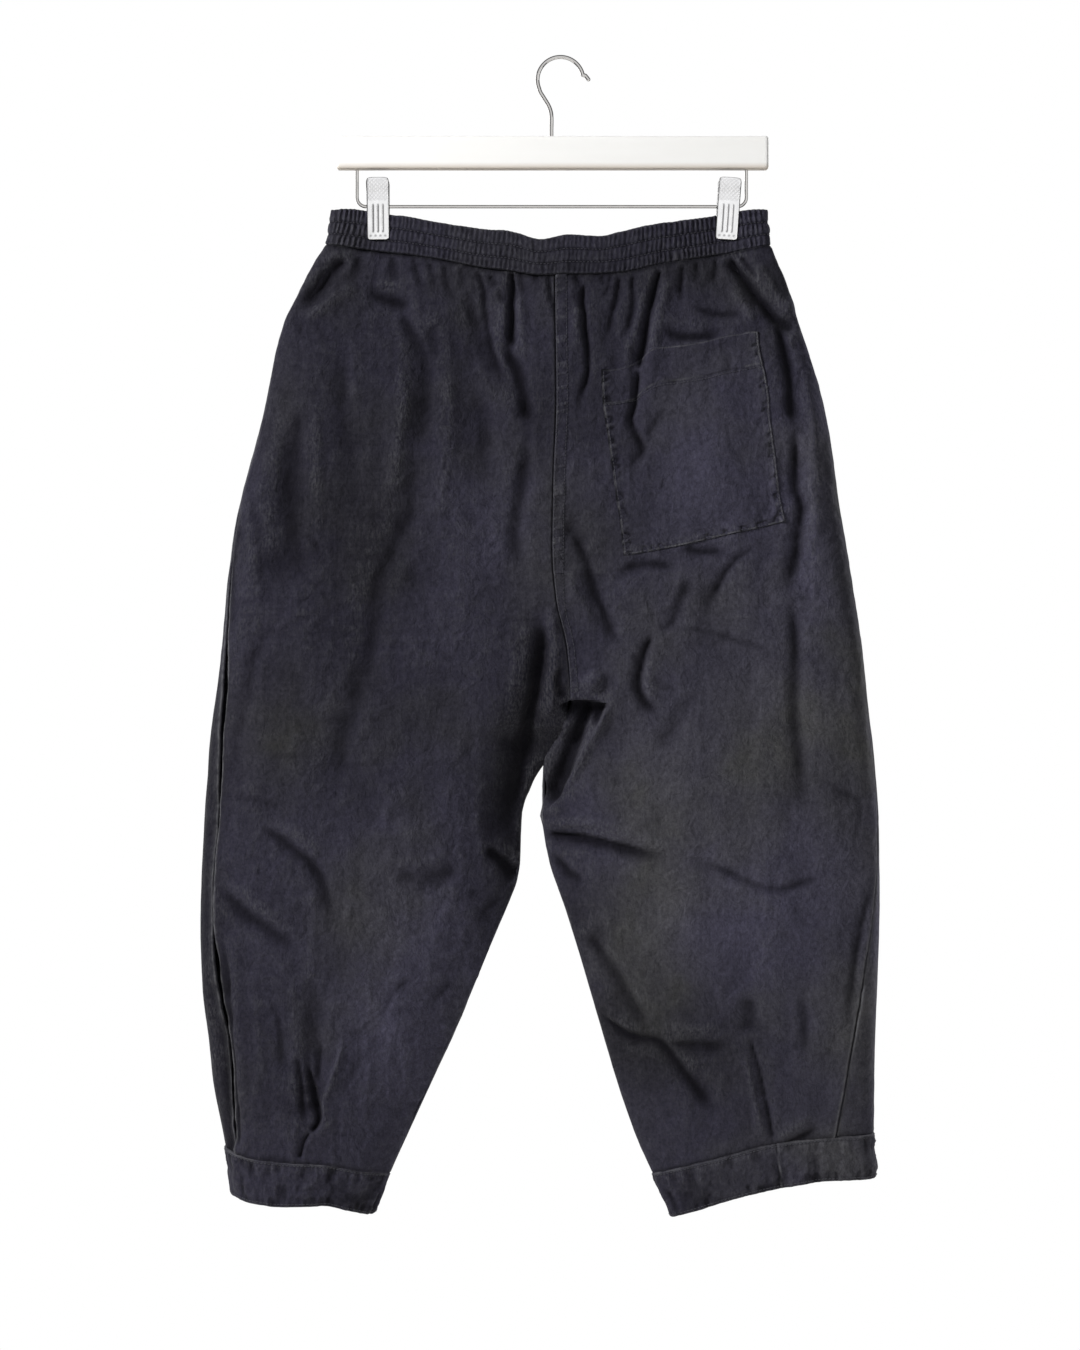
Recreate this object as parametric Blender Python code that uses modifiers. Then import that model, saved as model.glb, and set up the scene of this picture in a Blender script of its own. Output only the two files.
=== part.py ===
"""Barrel leg trousers hung from a clip hanger, seen from the back.

Metres, +Z up. +X is the wearer's right, -Y is the back of the garment and +Y its
front. The origin is the top of the inside of the hanger's hook, where it rests on
a rail. Sizes and tables are in millimetres.
"""

import math

import bmesh
import bpy
import numpy as np
from mathutils import Vector

MM = 0.001

# ----------------------------------------------------------------- driving sizes
CLOTH_WALL = 1.2  # leg panels
BAND_WALL = 2.4  # waistband: two layers of cloth and the elastic
CUFF_WALL = 2.0  # cuffs: two layers
POCKET_WALL = 1.3
SEAM_GAP = 0.3  # between sewn pieces
LAP = 0.45  # the pocket over the panel it lies on

LEG_ROUNDING = 0.8  # 1 is an ellipse, less is a blunter side
FRONT_FLATNESS = 0.85  # the front stands out less than the back
WAIST_REACH = 140.0  # how far below the waist seam the band's flatness lasts
BAND_END = 8.0  # length of the round end of the flattened band

BAR_LENGTH, BAR_THICK, BAR_HEIGHT = 380.0, 12.0, 29.0
BAR_TOP = -68.5
BAR_X = -7.0
BAR_ROUND = 2.5
HOOK_WIRE = 3.6
HOOK_RADIUS = 20.2  # to the wire's centre
HOOK_START, HOOK_END = 202.0, 12.0  # degrees round the arc
STEM_X = -8.0
STEM_DEPTH = 12.0
RAIL_WIRE = 3.0
RAIL_Z = -130.0
RAIL_LEFT, RAIL_RIGHT = -179.0, 163.5
RAIL_CORNER = 8.0
RAIL_DEPTH = 9.0
CLIP_WIDTH = 20.0
CLIP_PLATE = 1.0
SPRING_OUTER, SPRING_INNER, SPRING_LENGTH = 3.3, 1.9, 13.0
BORE_CLEARANCE = 0.3


# ----------------------------------------------------------------- tables
class Table:
    """Rows with named columns, read between the rows on smooth curves."""

    def __init__(self, columns, rows):
        self.names = columns.split()
        rows = np.array(sorted(rows), float)
        self.where = rows[:, 0]
        self.slopes = {}
        self.values = {}
        for i, name in enumerate(self.names[1:], 1):
            y = rows[:, i]
            secant = np.diff(y) / np.diff(self.where)
            slope = np.zeros(len(y))
            for k in range(1, len(y) - 1):
                a, b = secant[k - 1], secant[k]
                slope[k] = 2 * a * b / (a + b) if a * b > 0 else 0.0
            slope[0], slope[-1] = secant[0], secant[-1]
            self.values[name], self.slopes[name] = y, slope

    def at(self, name, x):
        x = np.clip(np.asarray(x, float), self.where[0], self.where[-1])
        k = np.clip(np.searchsorted(self.where, x) - 1, 0, len(self.where) - 2)
        span = self.where[k + 1] - self.where[k]
        t = (x - self.where[k]) / span
        y, m = self.values[name], self.slopes[name]
        return (
            y[k] * (2 * t**3 - 3 * t**2 + 1)
            + y[k + 1] * (3 * t**2 - 2 * t**3)
            + m[k] * span * (t**3 - 2 * t**2 + t)
            + m[k + 1] * span * (t**3 - t**2)
        )


# The outline at the side, and how far round from it the side seam lies on the back.
SIDE = {
    "left": Table(
        "z side seam_in",
        [
            (-150, -205.5, 0),
            (-163.5, -206.5, 0),
            (-177, -215, 0),
            (-194.5, -225, 0),
            (-212, -233.5, 0),
            (-229.5, -241.5, 0),
            (-265, -252, 0),
            (-300, -258.5, 0),
            (-335, -267, 0),
            (-388, -281, 0),
            (-423, -288, 3),
            (-476, -294.5, 8),
            (-529, -299, 14),
            (-599, -308.5, 20),
            (-670, -313.5, 24),
            (-757, -317, 26),
            (-810, -315.5, 28),
            (-863, -309.5, 31),
            (-898, -306, 30),
            (-951, -296, 26),
            (-998, -289.5, 25),
            (-1020, -288, 25),
        ],
    ),
    "right": Table(
        "z side seam_in",
        [
            (-150, 183, 0),
            (-163.5, 184.5, 0),
            (-177, 190, 0),
            (-194.5, 198, 0),
            (-229.5, 209, 0),
            (-265, 220.5, 0),
            (-300, 230, 0),
            (-335, 237, 0),
            (-388, 244.5, 0),
            (-441, 253, 0),
            (-511, 263.5, 0),
            (-564, 269.5, 4),
            (-617, 276, 8),
            (-670, 280, 13),
            (-740, 281, 23),
            (-810, 279, 33),
            (-881, 276.5, 41),
            (-945, 276, 47),
            (-983, 275, 49),
            (-1020, 274, 49),
        ],
    ),
}
# The centre seam down to the crotch, then each leg's inner edge.
CENTRE_SEAM = [
    (-150, -5),
    (-192, -5),
    (-300, -4),
    (-370, -6.5),
    (-432, -7.5),
    (-476, -4),
    (-520, 5.5),
    (-562, 8.5),
    (-583, 3),
    (-600, -4.5),
]
INNER = {
    "left": Table(
        "z inner",
        CENTRE_SEAM
        + [
            (-617, -15.5),
            (-634, -25),
            (-652, -32),
            (-670, -35),
            (-705, -35.5),
            (-722, -38),
            (-740, -44.5),
            (-775, -59.5),
            (-810, -74),
            (-863, -97),
            (-916, -121),
            (-951, -137),
            (-980, -150),
            (-1020, -166),
        ],
    ),
    "right": Table(
        "z inner",
        CENTRE_SEAM
        + [
            (-617, -12.5),
            (-634, -14.5),
            (-670, -15),
            (-705, -10),
            (-740, 2),
            (-775, 13),
            (-810, 23.5),
            (-863, 39),
            (-916, 55),
            (-951, 67.5),
            (-980, 80.5),
            (-1020, 99),
        ],
    ),
}
# Half depth of the hollow, and how far the section has closed into a leg of its own.
DEPTH = {
    "left": Table(
        "z half_depth closed",
        [
            (-150, 12, 0),
            (-212, 17, 0),
            (-300, 23, 0),
            (-420, 27, 0),
            (-540, 28, 0),
            (-565, 28, 0.25),
            (-585, 28, 0.62),
            (-600, 28, 1),
            (-700, 30, 1),
            (-800, 30, 1),
            (-900, 29, 1),
            (-960, 31, 1),
            (-1020, 31, 1),
        ],
    ),
    "right": Table(
        "z half_depth closed",
        [
            (-150, 12, 0),
            (-212, 17, 0),
            (-300, 23, 0),
            (-420, 27, 0),
            (-540, 28, 0),
            (-565, 28, 0.25),
            (-585, 28, 0.62),
            (-600, 28, 1),
            (-700, 31, 1),
            (-800, 30, 1),
            (-900, 25, 1),
            (-960, 19, 1),
            (-1020, 17, 1),
        ],
    ),
}
# The waistband's outline, and how far its two faces stand from the middle plane.
BAND = Table(
    "x top seam half_top half_seam",
    [
        (-210, -132.5, -163.5, 4.6, 4.8),
        (-200, -132.5, -164.5, 4.8, 5.2),
        (-183, -132.5, -167, 4.2, 4.8),
        (-172, -134, -168.5, 2.9, 3.6),
        (-160.5, -135.5, -170, 2.6, 3.2),
        (-149, -137, -171.5, 2.9, 3.6),
        (-136, -139, -173, 4.2, 6.0),
        (-104, -145, -178, 6.0, 8.5),
        (-70, -150, -185, 7.5, 10),
        (-45, -152, -188, 8.5, 11),
        (-18, -159.5, -192, 9, 11.5),
        (9, -155, -191, 9, 11.5),
        (35, -157, -190.5, 8.5, 11),
        (55, -152, -189, 8, 10.5),
        (88, -145, -182, 6.5, 9),
        (122, -140.5, -176, 4.2, 6.0),
        (135.5, -138, -173.5, 2.9, 3.6),
        (147, -135.5, -172, 2.6, 3.2),
        (158.5, -134, -169.5, 2.9, 3.6),
        (169, -132.8, -167.5, 4.2, 4.8),
        (181, -132.5, -165, 4.8, 5.2),
        (190, -132.5, -164, 4.6, 4.8),
    ],
)
BAND_SIDES = {"top": (-200.5, 181.0), "seam": (-206.5, 184.5)}
# Where each leg ends in its cuff, and the cuff's hem.
HEM = {
    "left": Table(
        "x cuff hem",
        [
            (-297, -955.5, -997),
            (-268, -963, -1003),
            (-240, -966, -1007.5),
            (-206, -968.5, -1007.5),
            (-185, -973, -1012),
            (-148, -981, -1017),
        ],
    ),
    "right": Table(
        "x cuff hem",
        [
            (78, -981, -1024),
            (119, -970, -1012),
            (142, -964, -1004),
            (186, -952, -992),
            (240, -945.5, -984),
            (280, -944.5, -983),
        ],
    ),
}
# Largest folds on each face. Height is out of the cloth, and below zero it is a trough.
FOLD_COLUMNS = "x0 z0 x1 z1 half_width height"
BACK_FOLDS = [
    # under the waistband
    (-43, -205, -30, -330, 13, -3.0),
    (-70, -200, -50, -310, 13, -2.2),
    (88, -200, 62, -330, 13, -3.0),
    (150, -190, 205, -243, 12, -4.5),
    (-190, -185, -226, -218, 12, -3.5),
    # long soft falls
    (-132, -250, -120, -340, 16, -3.0),
    (-122, -340, -166, -520, 18, -3.0),
    (-172, -520, -205, -690, 20, -3.0),
    (198, -260, 206, -420, 16, -3.5),
    (204, -430, 202, -600, 18, -4.0),
    (206, -610, 220, -700, 18, -3.0),
    (-230, -330, -228, -470, 16, -3.0),
    # seat and crotch
    (8, -440, 44, -510, 13, -3.0),
    (16, -570, 4, -650, 13, -6.0),
    (-10, -672, 108, -703, 12, -5.0),
    (120, -708, 235, -722, 14, -2.5),
    (150, -440, 78, -560, 14, -2.5),
    # lower legs
    (-265, -690, -197, -780, 15, -4.0),
    (-298, -735, -220, -790, 14, -4.0),
    (-140, -700, -90, -735, 15, -4.0),
    (-222, -800, -222, -900, 12, -6.0),
    (-212, -905, -224, -965, 10, -7.0),
    (-255, -812, -242, -905, 12, -3.0),
    (35, -842, 86, -864, 12, -5.0),
    (86, -864, 142, -935, 12, -4.0),
    (20, -765, 60, -830, 13, -4.0),
]
FRONT_FOLDS = [
    (-60, -205, -48, -330, 14, -3.0),
    (52, -205, 46, -330, 14, -3.0),
    (150, -195, 200, -250, 13, -3.5),
    (-190, -190, -225, -240, 13, -3.5),
    (-130, -280, -160, -560, 20, -4.0),
    (170, -300, 196, -600, 20, -4.0),
    (22, -560, 70, -640, 15, -4.0),
    (-20, -600, -90, -680, 15, -4.0),
    (-250, -700, -180, -800, 16, -4.0),
    (70, -760, 180, -860, 16, -4.0),
    (-230, -820, -222, -950, 13, -4.0),
    (190, -850, 200, -930, 13, -3.5),
]
# The patch pocket's corners on the back right panel.
POCKET_COLUMNS = "corner x z"
POCKET = [
    ("top_inner", 35.0, -274.5),
    ("top_outer", 175.5, -239.5),
    ("bottom_outer", 196.5, -409.5),
    ("bottom_inner", 55.5, -438.0),
]


# ----------------------------------------------------------------- cloth surfaces
def ease(x):
    x = np.clip(x, 0.0, 1.0)
    return x * x * (3 - 2 * x)


def pocket_point(u, v):
    """x and z inside the pocket's outline: u across from the inner edge, v down."""
    x = {name: px for name, px, _ in POCKET}
    z = {name: pz for name, _, pz in POCKET}
    a, b = "inner", "outer"
    top = [(1 - u) * k["top_" + a] + u * k["top_" + b] for k in (x, z)]
    low = [(1 - u) * k["bottom_" + a] + u * k["bottom_" + b] for k in (x, z)]
    return [(1 - v) * t + v * l for t, l in zip(top, low)]


def away_from_pocket(x, z):
    """0 under the pocket, rising to 1 a little way outside it, so it lies on flat cloth."""
    centre_x, centre_z = pocket_point(0.5, 0.5)
    shear = 0.125 * (z - centre_z)
    dx = np.abs(x - (centre_x - shear)) - 82
    dz = np.abs(z - (centre_z + 0.22 * (x - centre_x))) - 95
    return ease(np.maximum(dx, dz) / 14)


def folds(table, x, z):
    height = np.zeros(np.broadcast(x, z).shape)
    for row in table:
        f = dict(zip(FOLD_COLUMNS.split(), row))
        dx, dz = f["x1"] - f["x0"], f["z1"] - f["z0"]
        length = math.hypot(dx, dz)
        along = ((x - f["x0"]) * dx + (z - f["z0"]) * dz) / length
        across = ((x - f["x0"]) * dz - (z - f["z0"]) * dx) / length
        ends = ease((along + 12) / 30) * ease((length + 12 - along) / 30)
        height += f["height"] * ends * np.exp(-((across / f["half_width"]) ** 2))
    return height


def section(side, z, t):
    """The outer cloth of one leg, or of its half of the hips, at height z. t runs from
    -1 at the front's inner edge, by 0 at the side, to 1 at the back's inner edge."""
    end = math.pi / 2 * (1 + DEPTH[side].at("closed", z))
    phi = np.abs(t) * end
    edge = SIDE[side].at("side", z)
    clear = SEAM_GAP / 2 * (-1 if side == "left" else 1)
    inner = INNER[side].at("inner", z) + clear
    x = edge + (inner - edge) * (1 - np.cos(phi)) / (1 - np.cos(end))
    from_edge = np.abs(x - edge)
    band = BAND.at("half_seam", x) * np.sqrt(
        1 - (1 - np.clip(from_edge / BAND_END, 0, 1)) ** 2
    )
    rise = np.abs(np.sin(phi)) ** LEG_ROUNDING
    full = DEPTH[side].at("half_depth", z) * rise
    below = ease((BAND.at("seam", x) - z) / WAIST_REACH)
    out = (1 - below) * band + below * full
    soft = np.sin(phi) * ease((BAND.at("seam", x) - z) / 25)
    back = out + soft * folds(BACK_FOLDS, x, z) * away_from_pocket(x, z)
    front = out * (1 - below * (1 - FRONT_FLATNESS)) + soft * folds(FRONT_FOLDS, x, z)
    return x, np.where(t > 0, -back, front)


def leg_surface(side, first, last, level=None):
    """Points of a leg between two heights that change with x. The row at v = 0.5 is
    level where a height is given, so both legs have a row at the crotch."""

    def surface(t, v):
        z = np.full(np.shape(t), -500.0) + 0 * v
        for _ in range(5):
            x = section(side, z, t)[0]
            a, b = first(x), last(x)
            if level is None:
                z = a + (b - a) * v
            else:
                z = np.where(
                    v < 0.5, a + (level - a) * 2 * v, level + (b - level) * (2 * v - 1)
                )
        x, y = section(side, z, t)
        return np.stack([x, y, z], -1)

    return surface


def band_surface(t, v):
    """The waistband: t turns once round from the left side over the back."""
    phi = math.pi * (1 - t)
    left = BAND_SIDES["top"][0] * (1 - v) + BAND_SIDES["seam"][0] * v
    right = BAND_SIDES["top"][1] * (1 - v) + BAND_SIDES["seam"][1] * v
    x = (left + right) / 2 - (right - left) / 2 * np.cos(phi)
    half = BAND.at("half_top", x) * (1 - v) + BAND.at("half_seam", x) * v
    from_end = np.minimum(x - left, right - x)
    half = half * np.sqrt(1 - (1 - np.clip(from_end / BAND_END, 0, 1)) ** 2)
    z = BAND.at("top", x) * (1 - v) + (BAND.at("seam", x) + SEAM_GAP / 2) * v
    return np.stack([x, np.where(np.sin(phi) >= 0, -half, half), z], -1)


def normals(surface, t, v, outward):
    step = 1e-3
    along = surface(t + step, v) - surface(t - step, v)
    down = surface(t, np.minimum(v + step, 1)) - surface(t, np.maximum(v - step, 0))
    n = np.cross(along, down)
    n /= np.linalg.norm(n, axis=-1, keepdims=True)
    return n * outward


def stepped(surface, v, start, stop, steps, trim_start, trim_stop):
    """t at the given shares of the length of one row, trimmed at its ends for the seams."""
    dense = np.linspace(-1, 1, 1601)
    points = surface(dense, np.full(dense.shape, v))
    length = np.concatenate(
        [[0], np.cumsum(np.linalg.norm(np.diff(points, axis=0), axis=1))]
    )
    a = np.interp(start, dense, length) + trim_start
    b = np.interp(stop, dense, length) - trim_stop
    return np.interp(a + (b - a) * np.array(steps), length, dense)


# ----------------------------------------------------------------- building
def material(name, colour, roughness, metallic=0.0):
    made = bpy.data.materials.new(name)
    made.use_nodes = True
    shader = made.node_tree.nodes["Principled BSDF"]
    shader.inputs["Base Color"].default_value = (*colour, 1)
    shader.inputs["Roughness"].default_value = roughness
    shader.inputs["Metallic"].default_value = metallic
    made.diffuse_color = (*colour, 1)
    return made


def collection(name):
    made = bpy.data.collections.new(name)
    bpy.context.scene.collection.children.link(made)
    return made


def add_mesh(name, vertices, faces, finish, into):
    mesh = bpy.data.meshes.new(name)
    mesh.from_pydata([Vector(p) * MM for p in vertices], [], faces)
    mesh.materials.append(finish)
    made = bpy.data.objects.new(name, mesh)
    into.objects.link(made)
    shaper = bmesh.new()
    shaper.from_mesh(mesh)
    bmesh.ops.recalc_face_normals(shaper, faces=shaper.faces)
    shaper.to_mesh(mesh)
    shaper.free()
    mesh.shade_smooth()
    return made


def wall(name, outer, inner, ring, finish, into):
    """A closed wall between two grids of points, open all round, or a ring."""
    rows, columns = outer.shape[:2]
    points = np.concatenate([outer.reshape(-1, 3), inner.reshape(-1, 3)])

    def at(layer, i, j):
        return layer * rows * columns + i * columns + j % columns

    faces = []
    steps = columns if ring else columns - 1
    for i in range(rows - 1):
        for j in range(steps):
            a = [at(0, i, j), at(0, i, j + 1), at(0, i + 1, j + 1), at(0, i + 1, j)]
            b = [at(1, i, j), at(1, i + 1, j), at(1, i + 1, j + 1), at(1, i, j + 1)]
            faces += [a, b]
    for i, turn in ((0, 1), (rows - 1, -1)):
        for j in range(steps):
            rim = [at(0, i, j), at(1, i, j), at(1, i, j + 1), at(0, i, j + 1)]
            faces.append(rim[::turn])
    if not ring:
        for j, turn in ((0, -1), (columns - 1, 1)):
            for i in range(rows - 1):
                rim = [at(0, i, j), at(1, i, j), at(1, i + 1, j), at(0, i + 1, j)]
                faces.append(rim[::turn])
    return add_mesh(name, points, faces, finish, into)


def side_seam(side, surface, v):
    """t of the side seam on one row."""
    dense = np.linspace(0, 0.5, 801)
    points = surface(dense, np.full(dense.shape, v))
    steps = np.linalg.norm(np.diff(points, axis=0), axis=1)
    length = np.concatenate([[0], np.cumsum(steps)])
    return np.interp(SIDE[side].at("seam_in", points[0, 2]), length, dense)


# Shares of a row's length at which a panel has a column, closer at its curved edges.
BACK_STEPS = np.linspace(0, 1, 23)
FRONT_STEPS = (0, 0.035, 0.1, 0.2, 0.32, 0.45, 0.58, 0.7, 0.8, 0.88, 0.935, 0.97, 1)


def row_columns(side, surface, v, face, gap=SEAM_GAP / 2):
    """t of the columns of one row of a panel, from its first seam to its second."""
    seam = side_seam(side, surface, v)
    if face == "back":
        return stepped(surface, v, seam, 1, BACK_STEPS, gap, gap)
    return stepped(surface, v, -1, seam, FRONT_STEPS, gap, gap)


def leg_panel(name, side, face, rows, finish, into):
    first = lambda x: BAND.at("seam", x) - SEAM_GAP / 2
    last = lambda x: HEM[side].at("cuff", x) + SEAM_GAP / 2
    surface = leg_surface(side, first, last, CENTRE_SEAM[-1][0])
    outer, inner = [], []
    for v in np.linspace(0, 1, rows + 1):
        t = row_columns(side, surface, v, face)
        down = np.full(t.shape, v)
        points = surface(t, down)
        out = normals(surface, t, down, -1 if side == "left" else 1)
        outer.append(points)
        inner.append(points - CLOTH_WALL * out)
    return wall(name, np.array(outer), np.array(inner), False, finish, into)


def cuff_columns(side, surface):
    def columns(v):
        front = row_columns(side, surface, v, "front", 0)
        return np.concatenate([front[:-1], row_columns(side, surface, v, "back", 0)[:-1]])

    return columns


def band_columns(v):
    """The columns of the band stand over those of the panels' top rows."""
    middle, reach = np.mean(BAND_SIDES["seam"]), np.ptp(BAND_SIDES["seam"]) / 2
    turns = []
    for face, way in (("front", -1), ("back", 1)):
        places = []
        for side in ("left", "right"):
            top = lambda x: BAND.at("seam", x) - SEAM_GAP / 2
            surface = leg_surface(side, top, lambda x: -500 + 0 * x)
            t = row_columns(side, surface, 0.0, face, 0)
            places += list(surface(t, np.zeros(t.shape))[:, 0])
        phi = np.arccos(np.clip((middle - np.array(places)) / reach, -1, 1))
        turns.append(1 - way * phi / math.pi)
    t = np.sort(np.concatenate(turns))
    return t[np.concatenate([[True], np.diff(t) > 2e-3])]


def closed_ring(name, surface, rows, columns, thick, proud, outward, finish, into):
    """A band all round, standing proud of the surface by a little."""
    outer, inner = [], []
    for v in np.linspace(0, 1, rows + 1):
        t = columns(v)
        down = np.full(t.shape, v)
        points = surface(t, down)
        out = normals(surface, t, down, outward)
        outer.append(points + proud * out)
        inner.append(points + (proud - thick) * out)
    return wall(name, np.array(outer), np.array(inner), True, finish, into)


def patch_pocket(name, rows, columns, finish, into):
    def surface(u, v):
        x, z = pocket_point(u, v)
        side = SIDE["right"].at("side", z)
        centre = INNER["right"].at("inner", z) + SEAM_GAP / 2
        phi = np.arccos(1 - (x - side) / (centre - side))
        y = section("right", z, phi / (math.pi / 2))[1]
        return np.stack([x, y, z], -1)

    u, v = np.meshgrid(np.linspace(0, 1, columns + 1), np.linspace(0, 1, rows + 1))
    step = 1e-3
    along = surface(u + step, v) - surface(u - step, v)
    down = surface(u, v + step) - surface(u, v - step)
    out = np.cross(down, along)
    out /= np.linalg.norm(out, axis=-1, keepdims=True)
    points = surface(u, v)
    low, high = points + LAP * out, points + (LAP + POCKET_WALL) * out
    return wall(name, high, low, False, finish, into)


def wire(name, points, thick, finish, into):
    curve = bpy.data.curves.new(name, "CURVE")
    curve.dimensions = "3D"
    curve.bevel_depth = thick / 2 * MM
    curve.bevel_resolution = 2
    curve.use_fill_caps = True
    spline = curve.splines.new("POLY")
    spline.points.add(len(points) - 1)
    for point, where in zip(spline.points, points):
        point.co = (*(Vector(where) * MM), 1)
    curve.materials.append(finish)
    made = bpy.data.objects.new(name, curve)
    into.objects.link(made)
    return made


def smooth_through(points, step):
    """Points about step apart on a smooth curve through the given ones."""
    points = [Vector(p) for p in points]
    ends = [2 * points[0] - points[1]] + points + [2 * points[-1] - points[-2]]
    found = []
    for a, b, c, d in zip(ends, ends[1:], ends[2:], ends[3:]):
        count = max(1, round((c - b).length / step))
        for k in range(count):
            s = k / count
            found.append(
                0.5
                * (
                    2 * b
                    + (c - a) * s
                    + (2 * a - 5 * b + 4 * c - d) * s**2
                    + (3 * b - a - 3 * c + d) * s**3
                )
            )
    return found + [points[-1]]


def drill(target, name, where, radius, length, cutters):
    """A blind hole up or down into the bar, for a wire's end."""
    bpy.ops.mesh.primitive_cylinder_add(
        vertices=16, radius=radius * MM, depth=length * MM, location=Vector(where) * MM
    )
    cutter = bpy.context.object
    cutter.name = name
    for old in list(cutter.users_collection):
        old.objects.unlink(cutter)
    cutters.objects.link(cutter)
    cutter.hide_render = True
    cutter.display_type = "WIRE"
    hole = target.modifiers.new(name, "BOOLEAN")
    hole.operation = "DIFFERENCE"
    hole.solver = "EXACT"
    hole.object = cutter


def main():
    for old in list(bpy.data.objects):
        bpy.data.objects.remove(old, do_unlink=True)
    for old in list(bpy.data.collections):
        bpy.data.collections.remove(old)
    part = collection("barrel_leg_trousers_on_hanger")
    cutters = collection("cutters")

    cloth = material("charcoal_cotton", (0.032, 0.031, 0.041), 0.9)
    pocket_cloth = material("charcoal_cotton_pocket", (0.035, 0.034, 0.044), 0.9)
    band_cloth = material("charcoal_cotton_band", (0.030, 0.029, 0.038), 0.9)
    paint = material("white_painted_wood", (0.82, 0.80, 0.76), 0.45)
    steel = material("bright_steel", (0.75, 0.75, 0.76), 0.22, 1.0)

    # Legs: four panels that meet at the side seams, the inseams and the centre seams.
    for side in ("left", "right"):
        leg_panel("back_" + side, side, "back", 32, cloth, part)
        leg_panel("front_" + side, side, "front", 32, cloth, part)

    # Waistband, cuffs and pocket.
    closed_ring(
        "waistband", band_surface, 2, band_columns, BAND_WALL, 0, 1, band_cloth, part
    )
    for side in ("left", "right"):
        first = lambda x, s=side: HEM[s].at("cuff", x) - SEAM_GAP / 2
        last = lambda x, s=side: HEM[s].at("hem", x)
        surface = leg_surface(side, first, last)
        outward = -1 if side == "left" else 1
        columns = cuff_columns(side, surface)
        closed_ring(
            "cuff_" + side, surface, 2, columns, CUFF_WALL, 0.5, outward, cloth, part
        )
    patch_pocket("pocket_back_right", 8, 8, pocket_cloth, part)

    # Hanger bar: a rounded lath with blind holes for the hook and the rail.
    bpy.ops.mesh.primitive_cube_add(
        size=1, location=Vector((BAR_X, 0, BAR_TOP - BAR_HEIGHT / 2)) * MM
    )
    bar = bpy.context.object
    bar.name = bar.data.name = "hanger_bar"
    bar.scale = Vector((BAR_LENGTH, BAR_THICK, BAR_HEIGHT)) * MM
    bpy.ops.object.transform_apply(location=False, rotation=False, scale=True)
    for old in list(bar.users_collection):
        old.objects.unlink(bar)
    part.objects.link(bar)
    bar.data.materials.append(paint)
    rounding = bar.modifiers.new("rounding", "BEVEL")
    rounding.width = BAR_ROUND * MM
    rounding.segments = 3
    rounding.limit_method = "ANGLE"
    bottom = BAR_TOP - BAR_HEIGHT
    stem_low = BAR_TOP - STEM_DEPTH
    drill(
        bar,
        "hook_hole",
        (STEM_X, 0, (stem_low - 0.5 + BAR_TOP + 2) / 2),
        HOOK_WIRE / 2 + BORE_CLEARANCE,
        STEM_DEPTH + 2.5,
        cutters,
    )
    for name, x in (("left", RAIL_LEFT), ("right", RAIL_RIGHT)):
        drill(
            bar,
            "rail_hole_" + name,
            (x, 0, (bottom - 2 + bottom + RAIL_DEPTH + 0.5) / 2),
            RAIL_WIRE / 2 + BORE_CLEARANCE,
            RAIL_DEPTH + 2.5,
            cutters,
        )

    # Hook: the stem, a bend out to one side and most of a circle, its tip turned out.
    centre_z = HOOK_WIRE / 2 - HOOK_RADIUS
    arc = [
        (
            HOOK_RADIUS * math.cos(math.radians(a)),
            0,
            centre_z + HOOK_RADIUS * math.sin(math.radians(a)),
        )
        for a in np.linspace(HOOK_START, HOOK_END, 14)
    ]
    stem = [
        (STEM_X, 0, stem_low),
        (STEM_X, 0, BAR_TOP + 5),
        (STEM_X, 0, -49.5),
        (STEM_X - 2.0, 0, -42.0),
        (STEM_X - 6.0, 0, -35.0),
        (STEM_X - 9.5, 0, -29.5),
    ]
    tip = [(21.8, 0, -14.6), (24.6, 0, -18.0)]
    wire(
        "hanger_hook", smooth_through(stem + arc + tip, 3.0), HOOK_WIRE, steel, part
    )

    # Rail: a wire that drops from each end of the bar and runs across under it.
    rail = [(RAIL_LEFT, 0, bottom + RAIL_DEPTH), (RAIL_LEFT, 0, RAIL_Z + RAIL_CORNER)]
    for x, out in ((RAIL_LEFT, -1), (RAIL_RIGHT, 1)):
        for a in np.linspace(0, math.pi / 2, 6)[1:-1]:
            turn = a if out < 0 else math.pi / 2 - a
            rail.append(
                (
                    x - out * RAIL_CORNER * (1 - math.cos(turn)),
                    0,
                    RAIL_Z + RAIL_CORNER * (1 - math.sin(turn)),
                )
            )
        if out < 0:
            rail.append((RAIL_LEFT + RAIL_CORNER, 0, RAIL_Z))
            rail.append((RAIL_RIGHT - RAIL_CORNER, 0, RAIL_Z))
    rail.append((RAIL_RIGHT, 0, RAIL_Z + RAIL_CORNER))
    rail.append((RAIL_RIGHT, 0, bottom + RAIL_DEPTH))
    wire("hanger_rail", rail, RAIL_WIRE, steel, part)

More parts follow.
